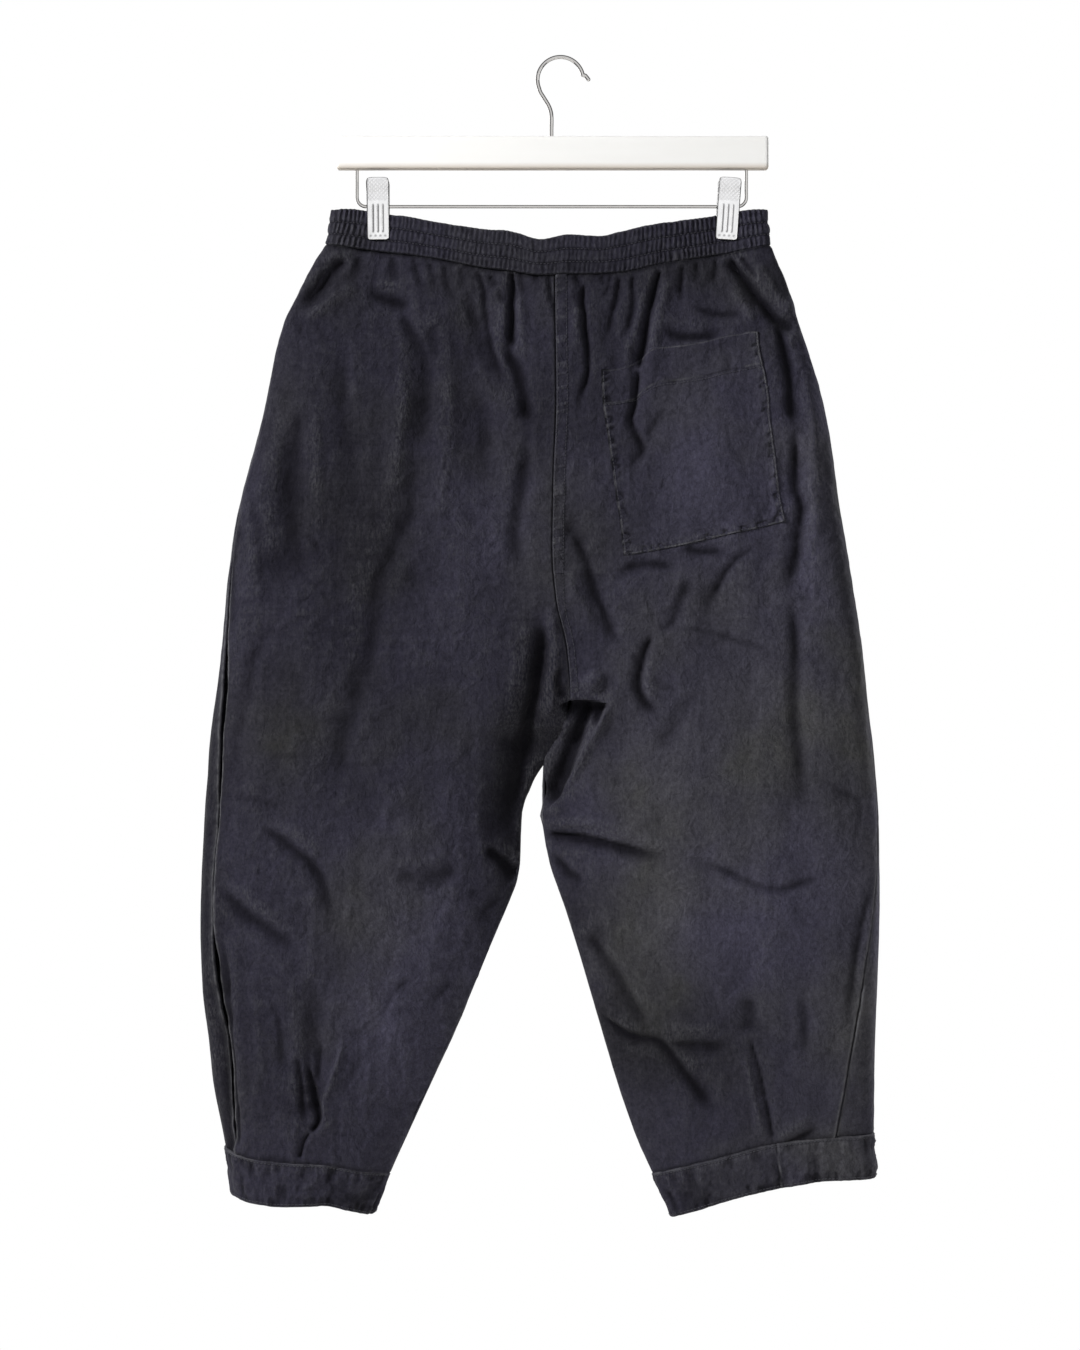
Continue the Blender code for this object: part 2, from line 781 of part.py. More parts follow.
    # Clips: two sprung jaws on a sleeve round the rail.
    jaw_profile = Table(
        "z y half_width",
        [
            (24.5, 8.4, 9.2),
            (20, 7.9, 10),
            (10, 5.4, 10),
            (4, 4.8, 10),
            (0, 4.7, 10),
            (-8, 4.9, 10),
            (-18, 4.9, 10),
            (-26, 5.0, 10),
            (-29.5, 5.3, 9.6),
        ],
    )
    clips = Table("x lean", [(-160.5, -0.6), (147.5, 3.8)])
    for name, x in (("left", clips.where[0]), ("right", clips.where[1])):
        lean = math.radians(clips.at("lean", x))
        for face, way in (("back", -1), ("front", 1)):
            heights = np.linspace(24.5, -29.5, 10)
            across = np.linspace(-1, 1, 7)
            outer, inner = [], []
            for z in heights:
                y, half = jaw_profile.at("y", z), jaw_profile.at("half_width", z)
                crown = 0.7 * (1 - across**2)
                row = np.stack(
                    [across * half, way * (y + crown - 0.2), np.full(7, z)], -1
                )
                outer.append(row)
                inner.append(row - np.array([0, way * CLIP_PLATE, 0]))
            jaw = wall(
                f"clip_{name}_{face}_jaw",
                np.array(outer),
                np.array(inner),
                False,
                steel,
                part,
            )
            jaw.location = Vector((x, 0, RAIL_Z)) * MM
            jaw.rotation_euler = (0, lean, 0)
        profile = bpy.data.meshes.new("spring_profile")
        half = SPRING_LENGTH / 2
        ring = [
            (SPRING_OUTER, 0, half),
            (SPRING_OUTER, 0, -half),
            (SPRING_INNER, 0, -half),
            (SPRING_INNER, 0, half),
        ]
        profile.from_pydata(
            [Vector(p) * MM for p in ring], [(0, 1), (1, 2), (2, 3), (3, 0)], []
        )
        profile.materials.append(steel)
        sleeve = bpy.data.objects.new(f"clip_{name}_spring", profile)
        part.objects.link(sleeve)
        turn = sleeve.modifiers.new("turn", "SCREW")
        turn.axis = "Z"
        turn.steps = turn.render_steps = 16
        turn.use_merge_vertices = True
        turn.merge_threshold = 0.00001
        sleeve.location = Vector((x, 0, RAIL_Z)) * MM
        sleeve.rotation_euler = (0, math.pi / 2, 0)

    bpy.context.view_layer.update()


main()
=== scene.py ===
"""Barrel leg trousers on a clip hanger: the looks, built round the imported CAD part.

Sizes are millimetres until the meshes are made. Places on the cloth are given as the
photograph shows them, x to the right and y down from its top left corner, one unit
being UNIT millimetres on the cloth, and they are turned into x and z by spot().
"""

import math

import bpy
import numpy as np
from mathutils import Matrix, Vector


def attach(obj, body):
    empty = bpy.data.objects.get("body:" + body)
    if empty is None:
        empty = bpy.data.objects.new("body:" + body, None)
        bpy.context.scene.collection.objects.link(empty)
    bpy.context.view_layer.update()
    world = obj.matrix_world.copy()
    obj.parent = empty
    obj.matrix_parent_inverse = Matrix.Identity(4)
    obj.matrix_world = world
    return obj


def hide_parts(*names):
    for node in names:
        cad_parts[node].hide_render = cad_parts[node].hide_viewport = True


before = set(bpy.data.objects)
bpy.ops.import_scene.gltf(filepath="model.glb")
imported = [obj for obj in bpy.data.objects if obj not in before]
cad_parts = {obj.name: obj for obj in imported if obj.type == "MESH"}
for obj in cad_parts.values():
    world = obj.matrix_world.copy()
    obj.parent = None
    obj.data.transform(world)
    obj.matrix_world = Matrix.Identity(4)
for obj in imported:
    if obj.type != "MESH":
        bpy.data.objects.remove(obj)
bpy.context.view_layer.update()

MM = 0.001
UNIT = 0.88
ORIGIN_X, ORIGIN_Y = 560.5, 59.0


def spot(x, y):
    return (np.asarray(x, float) - ORIGIN_X) * UNIT, -(np.asarray(y, float) - ORIGIN_Y) * UNIT


# ===================================================================== the form
SEAM_GAP = 0.3
LEG_ROUNDING = 0.8
FRONT_FLATNESS = 0.85
WAIST_REACH = 140.0
BAND_END = 8.0
BAR_LENGTH, BAR_THICK, BAR_HEIGHT = 380.0, 12.0, 29.0
BAR_TOP, BAR_X = -68.5, -7.0
HOOK_WIRE, HOOK_RADIUS = 3.6, 20.2
HOOK_START, HOOK_END = 202.0, 12.0
STEM_X = -8.0
RAIL_WIRE, RAIL_Z = 3.0, -130.0
RAIL_LEFT, RAIL_RIGHT, RAIL_CORNER = -179.0, 163.5, 8.0


class Table:
    """Rows with named columns, read between the rows on smooth curves."""

    def __init__(self, columns, rows):
        self.names = columns.split()
        rows = np.array(sorted(rows), float)
        self.where = rows[:, 0]
        self.slopes, self.values = {}, {}
        for i, name in enumerate(self.names[1:], 1):
            y = rows[:, i]
            secant = np.diff(y) / np.diff(self.where)
            slope = np.zeros(len(y))
            for k in range(1, len(y) - 1):
                a, b = secant[k - 1], secant[k]
                slope[k] = 2 * a * b / (a + b) if a * b > 0 else 0.0
            slope[0], slope[-1] = secant[0], secant[-1]
            self.values[name], self.slopes[name] = y, slope

    def at(self, name, x):
        x = np.clip(np.asarray(x, float), self.where[0], self.where[-1])
        k = np.clip(np.searchsorted(self.where, x) - 1, 0, len(self.where) - 2)
        span = self.where[k + 1] - self.where[k]
        t = (x - self.where[k]) / span
        y, m = self.values[name], self.slopes[name]
        return (
            y[k] * (2 * t**3 - 3 * t**2 + 1)
            + y[k + 1] * (3 * t**2 - 2 * t**3)
            + m[k] * span * (t**3 - 2 * t**2 + t)
            + m[k + 1] * span * (t**3 - t**2)
        )


SIDE = {
    "left": Table(
        "z side seam_in",
        [
            (-150, -205.5, 0), (-163.5, -206.5, 0), (-177, -215, 0), (-194.5, -225, 0),
            (-212, -233.5, 0), (-229.5, -241.5, 0), (-265, -252, 0), (-300, -258.5, 0),
            (-335, -267, 0), (-388, -281, 0), (-423, -288, 3), (-476, -294.5, 8),
            (-529, -299, 14), (-599, -308.5, 20), (-670, -313.5, 24), (-757, -317, 26),
            (-810, -315.5, 28), (-863, -309.5, 31), (-898, -306, 30), (-951, -296, 26),
            (-998, -289.5, 25), (-1020, -288, 25),
        ],
    ),
    "right": Table(
        "z side seam_in",
        [
            (-150, 183, 0), (-163.5, 184.5, 0), (-177, 190, 0), (-194.5, 198, 0),
            (-229.5, 209, 0), (-265, 220.5, 0), (-300, 230, 0), (-335, 237, 0),
            (-388, 244.5, 0), (-441, 253, 0), (-511, 263.5, 0), (-564, 269.5, 4),
            (-617, 276, 8), (-670, 280, 13), (-740, 281, 23), (-810, 279, 33),
            (-881, 276.5, 41), (-945, 276, 47), (-983, 275, 49), (-1020, 274, 49),
        ],
    ),
}
CENTRE_SEAM = [
    (-150, -5), (-192, -5), (-300, -4), (-370, -6.5), (-432, -7.5),
    (-476, -4), (-520, 5.5), (-562, 8.5), (-583, 3), (-600, -4.5),
]
INNER = {
    "left": Table(
        "z inner",
        CENTRE_SEAM
        + [
            (-617, -12.6), (-634, -23.5), (-652, -31.5), (-670, -35), (-705, -35.5),
            (-722, -38), (-740, -44.5), (-775, -59.5), (-810, -74), (-863, -97),
            (-916, -121), (-951, -137), (-980, -150), (-1020, -166),
        ],
    ),
    "right": Table(
        "z inner",
        CENTRE_SEAM
        + [
            (-617, -14.8), (-634, -15.2), (-670, -15), (-705, -10), (-740, 2),
            (-775, 13), (-810, 23.5), (-863, 39), (-916, 55), (-951, 67.5),
            (-980, 80.5), (-1020, 99),
        ],
    ),
}
DEPTH = {
    "left": Table(
        "z half_depth closed",
        [
            (-150, 12, 0), (-212, 17, 0), (-300, 23, 0), (-420, 27, 0), (-540, 28, 0),
            (-565, 28, 0.25), (-585, 28, 0.62), (-600, 28, 1), (-700, 30, 1),
            (-800, 30, 1), (-900, 29, 1), (-960, 31, 1), (-1020, 31, 1),
        ],
    ),
    "right": Table(
        "z half_depth closed",
        [
            (-150, 12, 0), (-212, 17, 0), (-300, 23, 0), (-420, 27, 0), (-540, 28, 0),
            (-565, 28, 0.25), (-585, 28, 0.62), (-600, 28, 1), (-700, 31, 1),
            (-800, 30, 1), (-900, 25, 1), (-960, 19, 1), (-1020, 17, 1),
        ],
    ),
}
BAND = Table(
    "x top seam half_top half_seam",
    [
        (-210, -132.5, -163.5, 4.6, 4.8), (-200, -132.5, -164.5, 4.8, 5.2),
        (-183, -132.5, -167, 4.2, 4.8), (-172, -134, -168.5, 2.9, 3.6),
        (-160.5, -135.5, -170, 2.6, 3.2), (-149, -137, -171.5, 2.9, 3.6),
        (-136, -139, -173, 4.2, 6.0), (-104, -145, -178, 6.0, 8.5),
        (-70, -150, -185, 7.5, 10), (-45, -152, -188, 8.5, 11),
        (-18, -159.5, -192, 9, 11.5), (9, -155, -191, 9, 11.5),
        (35, -157, -190.5, 8.5, 11), (55, -152, -189, 8, 10.5),
        (88, -145, -182, 6.5, 9), (122, -140.5, -176, 4.2, 6.0),
        (135.5, -138, -173.5, 2.9, 3.6), (147, -135.5, -172, 2.6, 3.2),
        (158.5, -134, -169.5, 2.9, 3.6), (169, -132.8, -167.5, 4.2, 4.8),
        (181, -132.5, -165, 4.8, 5.2), (190, -132.5, -164, 4.6, 4.8),
    ],
)
BAND_SIDES = {"top": (-200.5, 181.0), "seam": (-206.5, 184.5)}
HEM = {
    "left": Table(
        "x cuff hem",
        [
            (-297, -955.5, -997), (-268, -963, -1001.5), (-240, -966, -1004.5),
            (-206, -968.5, -1004.5), (-185, -973, -1010.5), (-166, -977, -1016.5), (-148, -981, -1018),
        ],
    ),
    "right": Table(
        "x cuff hem",
        [
            (78, -981, -1024), (119, -970, -1012), (142, -964, -1004),
            (186, -952, -992), (240, -945.5, -984), (280, -944.5, -983),
        ],
    ),
}


# How far each leg's back stands out, across from its outer edge (0) to its inner edge (1).
# The outer parts come forward and the inner thighs fall away, as they hang in the photograph.
STANCE = {
    "left": Table(
        "across leg hips",
        [
            (0, 0, 0), (0.012, 0.34, 0.34), (0.035, 0.56, 0.56), (0.08, 0.78, 0.76),
            (0.15, 0.93, 0.88), (0.27, 1.0, 0.97), (0.42, 0.98, 1.02), (0.57, 0.90, 1.03),
            (0.72, 0.74, 1.0), (0.84, 0.52, 0.96), (0.93, 0.28, 0.93), (0.975, 0.12, 0.92),
            (1.0, 0.0, 0.92),
        ],
    ),
    "right": Table(
        "across leg hips",
        [
            (0, 0, 0), (0.01, 0.44, 0.40), (0.03, 0.72, 0.66), (0.07, 0.92, 0.86),
            (0.14, 1.02, 0.98), (0.28, 1.03, 1.06), (0.45, 0.95, 1.06), (0.62, 0.84, 1.02),
            (0.78, 0.68, 0.98), (0.88, 0.50, 0.95), (0.95, 0.30, 0.93), (0.985, 0.13, 0.92),
            (1.0, 0.0, 0.92),
        ],
    ),
}


def ease(x):
    x = np.clip(x, 0.0, 1.0)
    return x * x * (3 - 2 * x)


def section(side, z, t):
    """The outer cloth of one leg, or of its half of the hips, at height z, unfolded. t
    runs from -1 at the front's inner edge, by 0 at the side, to 1 at the back's."""
    end = math.pi / 2 * (1 + DEPTH[side].at("closed", z))
    phi = np.abs(t) * end
    edge = SIDE[side].at("side", z)
    inner = INNER[side].at("inner", z)
    x = edge + (inner - edge) * (1 - np.cos(phi)) / (1 - np.cos(end))
    from_edge = np.abs(x - edge)
    band = BAND.at("half_seam", x) * np.sqrt(
        1 - (1 - np.clip(from_edge / BAND_END, 0, 1)) ** 2
    )
    rise = np.abs(np.sin(phi)) ** LEG_ROUNDING
    depth = DEPTH[side].at("half_depth", z)
    below = ease((BAND.at("seam", x) - z) / WAIST_REACH)
    front = (1 - below) * band + below * depth * rise
    front = front * (1 - below * (1 - FRONT_FLATNESS))
    across = np.clip((x - edge) / (inner - edge), 0, 1)
    closed = DEPTH[side].at("closed", z)
    stance = (1 - closed) * STANCE[side].at("hips", across) + closed * STANCE[side].at(
        "leg", across
    )
    back = (1 - below) * band + below * depth * stance
    return x, np.where(t > 0, -back, front)


def leg_surface(side, first, last, level=None):
    """Points of a leg between two heights that change with x. The row at v = 0.5 is
    level where a height is given, so both legs have a row at the crotch."""

    def surface(t, v):
        z = np.full(np.shape(t), -500.0) + 0 * v
        for _ in range(5):
            x = section(side, z, t)[0]
            a, b = first(x), last(x)
            if level is None:
                z = a + (b - a) * v
            else:
                z = np.where(
                    v < 0.5, a + (level - a) * 2 * v, level + (b - level) * (2 * v - 1)
                )
        x, y = section(side, z, t)
        return np.stack([x, y, z], -1)

    return surface


def band_surface(t, v):
    """The waistband: t turns once round from the left side over the back."""
    phi = math.pi * (1 - t)
    left = BAND_SIDES["top"][0] * (1 - v) + BAND_SIDES["seam"][0] * v
    right = BAND_SIDES["top"][1] * (1 - v) + BAND_SIDES["seam"][1] * v
    x = (left + right) / 2 - (right - left) / 2 * np.cos(phi)
    half = BAND.at("half_top", x) * (1 - v) + BAND.at("half_seam", x) * v
    from_end = np.minimum(x - left, right - x)
    half = half * np.sqrt(1 - (1 - np.clip(from_end / BAND_END, 0, 1)) ** 2)
    z = BAND.at("top", x) * (1 - v) + (BAND.at("seam", x) + SEAM_GAP / 2) * v
    return np.stack([x, np.where(np.sin(phi) >= 0, -half, half), z], -1)


def unit(v):
    return v / np.maximum(np.linalg.norm(v, axis=-1, keepdims=True), 1e-9)


def grid_normals(points, ring=False):
    """Normals of a grid of points; columns run along, rows run down."""
    if ring:
        along = np.roll(points, -1, 1) - np.roll(points, 1, 1)
    else:
        along = np.gradient(points, axis=1)
    down = np.gradient(points, axis=0)
    return unit(np.cross(along, down))


def row_length(points):
    steps = np.linalg.norm(np.diff(points, axis=-2), axis=-1)
    return np.concatenate([np.zeros(steps.shape[:-1] + (1,)), np.cumsum(steps, -1)], -1)


# ===================================================================== noise
def noise(x, y, size, seed):
    """Smooth noise about -1 to 1 with lumps of the given size."""
    rng = np.random.default_rng(seed)
    cells = rng.uniform(-1, 1, (160, 160))
    u, v = x / size + 57.3, y / size + 41.7
    i, j = np.floor(u).astype(int), np.floor(v).astype(int)
    a, b = u - i, v - j
    a, b = a * a * a * (a * (a * 6 - 15) + 10), b * b * b * (b * (b * 6 - 15) + 10)
    c = lambda p, q: cells[np.mod(p, 160), np.mod(q, 160)]
    top = c(i, j) * (1 - a) + c(i + 1, j) * a
    low = c(i, j + 1) * (1 - a) + c(i + 1, j + 1) * a
    return top * (1 - b) + low * b


def crumple(x, y, size, seed):
    """Noise with creased ridges, as in cloth that has been washed and hung."""
    a = noise(x, y, size, seed)
    b = noise(x + 0.5 * size * a, y - 0.4 * size * a, size * 0.55, seed + 1)
    return 0.62 * (1 - 2 * np.abs(a)) + 0.38 * (1 - 2 * np.abs(b)) - 0.1


# ===================================================================== folds
# Each fold is laid along a smooth line through the given places on the photograph. Height
# is out of the cloth, in mm, below zero a trough; side_a is its half width on the picture's
# left of a line that runs down (below a line that runs to the right), side_b on the other;
# shape is 2 for a round profile and less for a creased one; lean pushes the fold over
# towards side b, in mm; fade_a and fade_b are the shares of its length over which it dies
# away at its two ends.
FOLD_COLUMNS = "height side_a side_b shape lean fade_a fade_b line"
BACK_FOLDS = [
    # ---- broad forms: sag between the clips, puffs of the legs, hollows beside them
    (-5.0, 26, 24, 2, 0, 0.3, 0.4, [(470, 290), (472, 400), (470, 520)]),
    (5.0, 30, 26, 2, 0, 0.3, 0.4, [(720, 360), (722, 450), (716, 560)]),
    (4.0, 34, 30, 2, 0, 0.4, 0.4, [(440, 420), (460, 560), (440, 700)]),
    (4.0, 40, 40, 2, 0, 0.4, 0.4, [(400, 800), (390, 880), (370, 960)]),
    (4.5, 40, 40, 2, 0, 0.4, 0.4, [(700, 640), (720, 760), (720, 920)]),
    (3.0, 26, 26, 2, 0, 0.4, 0.4, [(850, 500), (858, 640), (866, 780)]),
    (-4.0, 16, 16, 2, 0, 0.3, 0.3, [(290, 420), (284, 520), (276, 620)]),
    # ---- left hip, pulled up to the clip
    (-5.5, 6, 7, 1.6, 0, 0.08, 0.25, [(346, 260), (331, 276), (316, 292), (302, 309)]),
    (3.0, 7, 8, 1.8, 0, 0.15, 0.3, [(358, 287), (336, 299), (318, 311), (300, 325)]),
    (-1.8, 5, 6, 2, 0, 0.1, 0.4, [(362, 255), (356, 272), (349, 285)]),
    (-3.6, 6, 5, 1.7, 0, 0.3, 0.35, [(366, 292), (384, 298), (400, 303), (416, 306)]),
    (2.0, 8, 8, 2, 0, 0.3, 0.4, [(372, 283), (395, 285), (412, 288)]),
    (-2.0, 4, 5, 2, 0, 0.1, 0.4, [(392, 258), (396, 274), (398, 288)]),
    # ---- gathers under the band, left of the centre seam
    (-2.6, 2.6, 3.6, 1.5, 0, 0.06, 0.5, [(414, 260), (419, 276), (426, 296)]),
    (-1.8, 3, 4, 1.7, 0, 0.08, 0.5, [(431, 264), (435, 280), (439, 298)]),
    (-2.4, 3, 4, 1.6, 0, 0.06, 0.5, [(446, 266), (449, 286), (456, 306)]),
    (-1.2, 3, 3, 1.8, 0, 0.08, 0.5, [(461, 268), (464, 280), (468, 290)]),
    (-3.4, 3, 3.6, 1.4, 0.6, 0.04, 0.45,
     [(474, 270), (482, 288), (485, 315), (490, 340), (498, 366), (508, 386), (521, 404)]),
    (-2.6, 8, 7, 2, 0, 0.2, 0.4,
     [(467, 290), (477, 326), (484, 345), (494, 368), (503, 392), (512, 412)]),
    (-2.2, 2.6, 3, 1.4, 0, 0.1, 0.5, [(488, 276), (492, 282), (499, 289)]),
    (-1.6, 3.5, 4, 1.8, 0, 0.2, 0.5, [(496, 292), (502, 300), (509, 309)]),
    (-7.0, 3.4, 2.6, 1.35, 1, 0.02, 0.2,
     [(510, 275), (511.5, 290), (511.5, 326), (511, 338), (514, 352)]),
    (-5.5, 7, 6, 1.8, 0.8, 0.2, 0.2,
     [(509, 336), (509, 354), (516, 370), (522, 390), (526, 412), (530, 432)]),
    (2.2, 5, 6, 1.8, 0, 0.15, 0.3, [(519, 292), (520, 320), (521, 342), (529, 362)]),
    (1.6, 6, 4, 2, 0, 0.2, 0.3, [(503, 300), (503, 322), (500, 342)]),
    (-3.4, 7, 7, 2, 0, 0.25, 0.3,
     [(529, 424), (527, 455), (522, 490), (514, 535), (518, 562), (528, 588)]),
    (-1.4, 3, 4, 1.8, 0, 0.08, 0.5, [(518, 274), (521, 288), (525, 302)]),
    (-2.6, 2.6, 3.4, 1.5, 0, 0.05, 0.5, [(547, 275), (550, 292), (555, 310), (556, 332)]),
    (-1.2, 3, 3, 1.8, 0, 0.08, 0.5, [(534, 275), (536, 286), (539, 296)]),
    # ---- long soft falls of the left half
    (-3.8, 10, 7, 2, 0, 0.05, 0.25,
     [(402, 315), (412, 333), (423, 354), (429, 385), (427, 415), (416, 460)]),
    (-2.2, 6, 7, 2, 0, 0.2, 0.4, [(429, 324), (434, 346), (437, 368)]),
    (-3.0, 12, 9, 2, 0, 0.2, 0.25,
     [(418, 450), (408, 520), (384, 580), (372, 655), (357, 697), (339, 781), (329, 840)]),
    (2.4, 10, 10, 2, 0, 0.3, 0.4, [(398, 350), (404, 400), (398, 450), (386, 520)]),
    (1.8, 9, 9, 2, 0, 0.3, 0.3, [(448, 330), (452, 400), (446, 470), (436, 540)]),
    (-2.0, 8, 10, 2, 0, 0.3, 0.4, [(478, 380), (484, 440), (480, 500)]),
    (-2.0, 10, 9, 2, 0, 0.25, 0.4, [(343, 330), (345, 400), (352, 470), (352, 540)]),
    (-3.4, 11, 9, 2, 0, 0.12, 0.18,
     [(302, 405), (297, 450), (294, 495), (298, 540), (303, 588)]),
    (1.8, 7, 7, 2, 0, 0.3, 0.4, [(320, 400), (318, 470), (322, 550)]),
    (-1.6, 4, 5, 1.7, 0, 0.2, 0.4, [(254, 487), (260, 530), (263, 560), (269, 612)]),
    (-3.0, 5, 7, 1.8, 0, 0.12, 0.2, [(240, 500), (235, 540), (231, 585), (230, 645)]),
    (-1.5, 3, 4, 1.6, 0, 0.2, 0.4, [(307, 534), (316, 544), (329, 560)]),
    # crinkle above the hip
    (-0.78, 3, 3, 1.5, 0, 0.3, 0.4, [(271, 389), (286, 392), (300, 399)]),
    (-0.6, 3, 3, 1.5, 0, 0.3, 0.4, [(296, 388), (308, 395), (322, 397)]),
    (0.6, 4, 3, 1.5, 0, 0.3, 0.4, [(276, 399), (292, 404), (310, 405)]),
    (-0.6, 3, 3, 1.6, 0, 0.3, 0.4, [(330, 392), (345, 398), (356, 400)]),
    # ---- left leg
    (-1.8, 9, 7, 2, 0, 0.2, 0.3, [(274, 621), (256, 668), (244, 712), (234, 792)]),
    (-1.08, 4, 5, 1.6, 0, 0.3, 0.4, [(291, 652), (299, 684), (309, 724)]),
    (-0.96, 4, 3, 1.6, 0, 0.3, 0.4, [(270, 760), (290, 755), (312, 756)]),
    (-0.96, 4, 3, 1.6, 0, 0.3, 0.4, [(239, 794), (262, 799), (292, 806)]),
    (-3.2, 7, 5, 1.8, 0, 0.15, 0.3,
     [(259, 823), (281, 834), (300, 849), (315, 863), (325, 882), (337, 934)]),
    (2.0, 7, 8, 2, 0, 0.3, 0.3, [(270, 814), (292, 826), (312, 840), (326, 858)]),
    (-3.4, 8, 6, 1.8, 0, 0.15, 0.3,
     [(221, 884), (235, 896), (250, 912), (282, 932), (312, 950)]),
    (2.0, 6, 8, 2, 0, 0.3, 0.4, [(232, 880), (250, 893), (276, 914), (300, 926)]),
    (3.0, 16, 16, 2, 0, 0.3, 0.3, [(392, 828), (418, 830), (446, 828)]),
    (-3.4, 11, 9, 1.9, 0, 0.25, 0.3, [(392, 868), (420, 876), (446, 872), (468, 858)]),
    (-7.0, 7, 3.5, 1.5, 0.6, 0.2, 0.12, [(486, 845), (498, 854), (508, 863), (520, 874)]),
    (-1.08, 4, 4, 1.5, 0, 0.3, 0.4, [(509, 893), (490, 904), (478, 918), (466, 930)]),
    (-1.08, 4, 5, 1.6, 0, 0.3, 0.4, [(418, 969), (404, 983), (391, 1000), (380, 1024)]),
    (-1.32, 7, 5, 1.7, 0, 0.3, 0.4, [(459, 973), (444, 987), (429, 1008)]),
    (-0.96, 6, 4, 1.7, 0, 0.3, 0.4, [(392, 1011), (405, 1009), (418, 1012)]),
    # inner thigh, going back under
    (-5.0, 16, 10, 2, 0, 0.3, 0.2,
     [(536, 600), (543, 640), (540, 673), (533, 706), (529, 740), (523, 775)]),
    (-8.5, 9, 3.4, 1.6, 0, 0.18, 0.22,
     [(546, 618), (543, 642), (540, 673), (534, 706), (530, 740), (524, 772), (516, 806), (507, 838)]),
    (-3.0, 18, 12, 2, 0, 0.3, 0.3, [(510, 700), (508, 760), (500, 820), (492, 862)]),
    # side seam valley of the left leg
    (-2.4, 5, 4, 1.8, 0, 0.2, 0.3, [(232, 642), (224, 730), (221, 810), (217, 880)]),
    (-3.6, 8, 5, 1.8, 0, 0.2, 0.1,
     [(218, 925), (220, 965), (225, 1003), (228, 1040), (232, 1075), (240, 1118)]),
    (-1.56, 3.5, 4, 1.6, 0, 0.3, 0.3, [(274, 982), (279, 1010), (284, 1034), (288, 1082)]),
    (1.6, 6, 6, 2, 0, 0.3, 0.3, [(255, 970), (262, 1030), (266, 1090)]),
    # tuck at the left hem
    (-5.0, 13, 12, 1.8, 0, 0.35, 0.15,
     [(310, 962), (314, 995), (316, 1025), (315, 1060), (317, 1095), (314, 1122)]),
    (-2.2, 2.4, 2.2, 1.5, 0, 0.3, 0.3, [(322, 1034), (323, 1060), (320, 1084)]),
    (1.6, 2.2, 2.2, 1.6, 0, 0.3, 0.3, [(314, 1042), (316, 1064), (315, 1086)]),
    (-5.0, 13, 2.6, 1.6, 0.8, 0.25, 0.06,
     [(224, 920), (230, 970), (233, 1010), (236, 1060), (239, 1105), (241, 1146)]),
    (-3.2, 3, 3, 1.5, 0, 0.2, 0.3, [(299, 1050), (303, 1080), (307, 1105), (311, 1127)]),
    (-6.0, 3.6, 2.6, 1.4, 1.2, 0.2, 0.1,
     [(309, 1060), (316, 1084), (322, 1106), (322, 1117), (313, 1127)]),
    (-3.4, 2.6, 1.8, 1.3, 0.8, 0.1, 0.1, [(313, 1126), (307, 1139), (302, 1153)]),
    (3.6, 2.4, 6, 1.7, -1.2, 0.25, 0.15,
     [(345, 1029), (341, 1055), (335, 1078), (328, 1092), (327, 1106), (327, 1118), (317, 1132)]),
    (-0.72, 3, 3, 1.6, 0, 0.3, 0.4, [(342, 1028), (356, 1030), (371, 1035)]),
    (2.2, 9, 9, 2, 0, 0.3, 0.3, [(284, 1100), (290, 1120), (288, 1140)]),
    (-1.2, 3.5, 3, 1.6, 0, 0.3, 0.3, [(262, 1148), (278, 1152), (297, 1153)]),
    # ---- gathers under the band, right of the centre seam
    (-2.4, 2.2, 3, 1.5, 0, 0.05, 0.5, [(573, 275), (577, 281), (581, 288)]),
    (-5.0, 3, 2.6, 1.4, 0.6, 0.04, 0.35,
     [(581, 284), (584, 312), (585.5, 340), (587, 362), (587, 378), (581, 400), (572, 424)]),
    (1.6, 5, 5, 2, 0, 0.2, 0.3, [(576, 300), (577, 330), (577, 360)]),
    (-1.8, 2.4, 2.4, 1.5, 0, 0.1, 0.5, [(600, 276), (601, 282), (601, 288)]),
    (-2.2, 2.6, 3.4, 1.5, 0, 0.06, 0.5, [(609, 276), (606, 290), (600, 303)]),
    (-3.0, 3.2, 3.4, 1.5, 0, 0.05, 0.4, [(620, 277), (615, 300), (609, 326), (606, 352)]),
    (-2.8, 3.2, 3.4, 1.5, 0, 0.05, 0.45, [(634, 276), (632, 306), (626, 328), (620, 350)]),
    (-6.2, 3.6, 3, 1.4, 0.8, 0.03, 0.12,
     [(661, 270), (655, 290), (649, 308), (646, 322), (644, 343), (641, 356), (637, 374)]),
    (-5.0, 5, 4, 1.6, 0.6, 0.12, 0.3,
     [(638, 368), (635.5, 395), (632, 420), (635, 431), (642, 449), (634, 460), (622, 476)]),
    (2.6, 5, 8, 2, 0, 0.1, 0.35,
     [(671, 276), (662, 300), (656, 330), (652, 360), (649, 392), (648, 416)]),
    (1.6, 6, 4, 2, 0, 0.2, 0.35, [(641, 300), (634, 330), (627, 362), (622, 400)]),
    (-2.0, 4, 5, 2, 0, 0.2, 0.4, [(667, 407), (652, 430), (641, 452)]),
    (-2.6, 3, 3.4, 1.6, 0, 0.05, 0.5, [(683, 266), (682, 286), (680, 308)]),
    (-1.8, 3, 3, 1.7, 0, 0.05, 0.5, [(698, 263), (698, 276), (696, 288)]),
    (-2.2, 3, 3, 1.6, 0, 0.05, 0.5, [(716, 261), (716, 274), (713, 288)]),
    (-3.6, 6, 5, 1.8, 0, 0.3, 0.3, [(660, 327), (675, 335), (690, 339), (706, 339), (728, 334)]),
    (1.8, 5, 7, 2, 0, 0.3, 0.3, [(668, 347), (692, 350), (716, 345), (740, 334)]),
    (-2.4, 4.5, 4, 1.8, 0, 0.3, 0.3, [(690, 308), (706, 314), (724, 316), (746, 312)]),
    # ---- right hip, pulled up to the clip, and its long fall
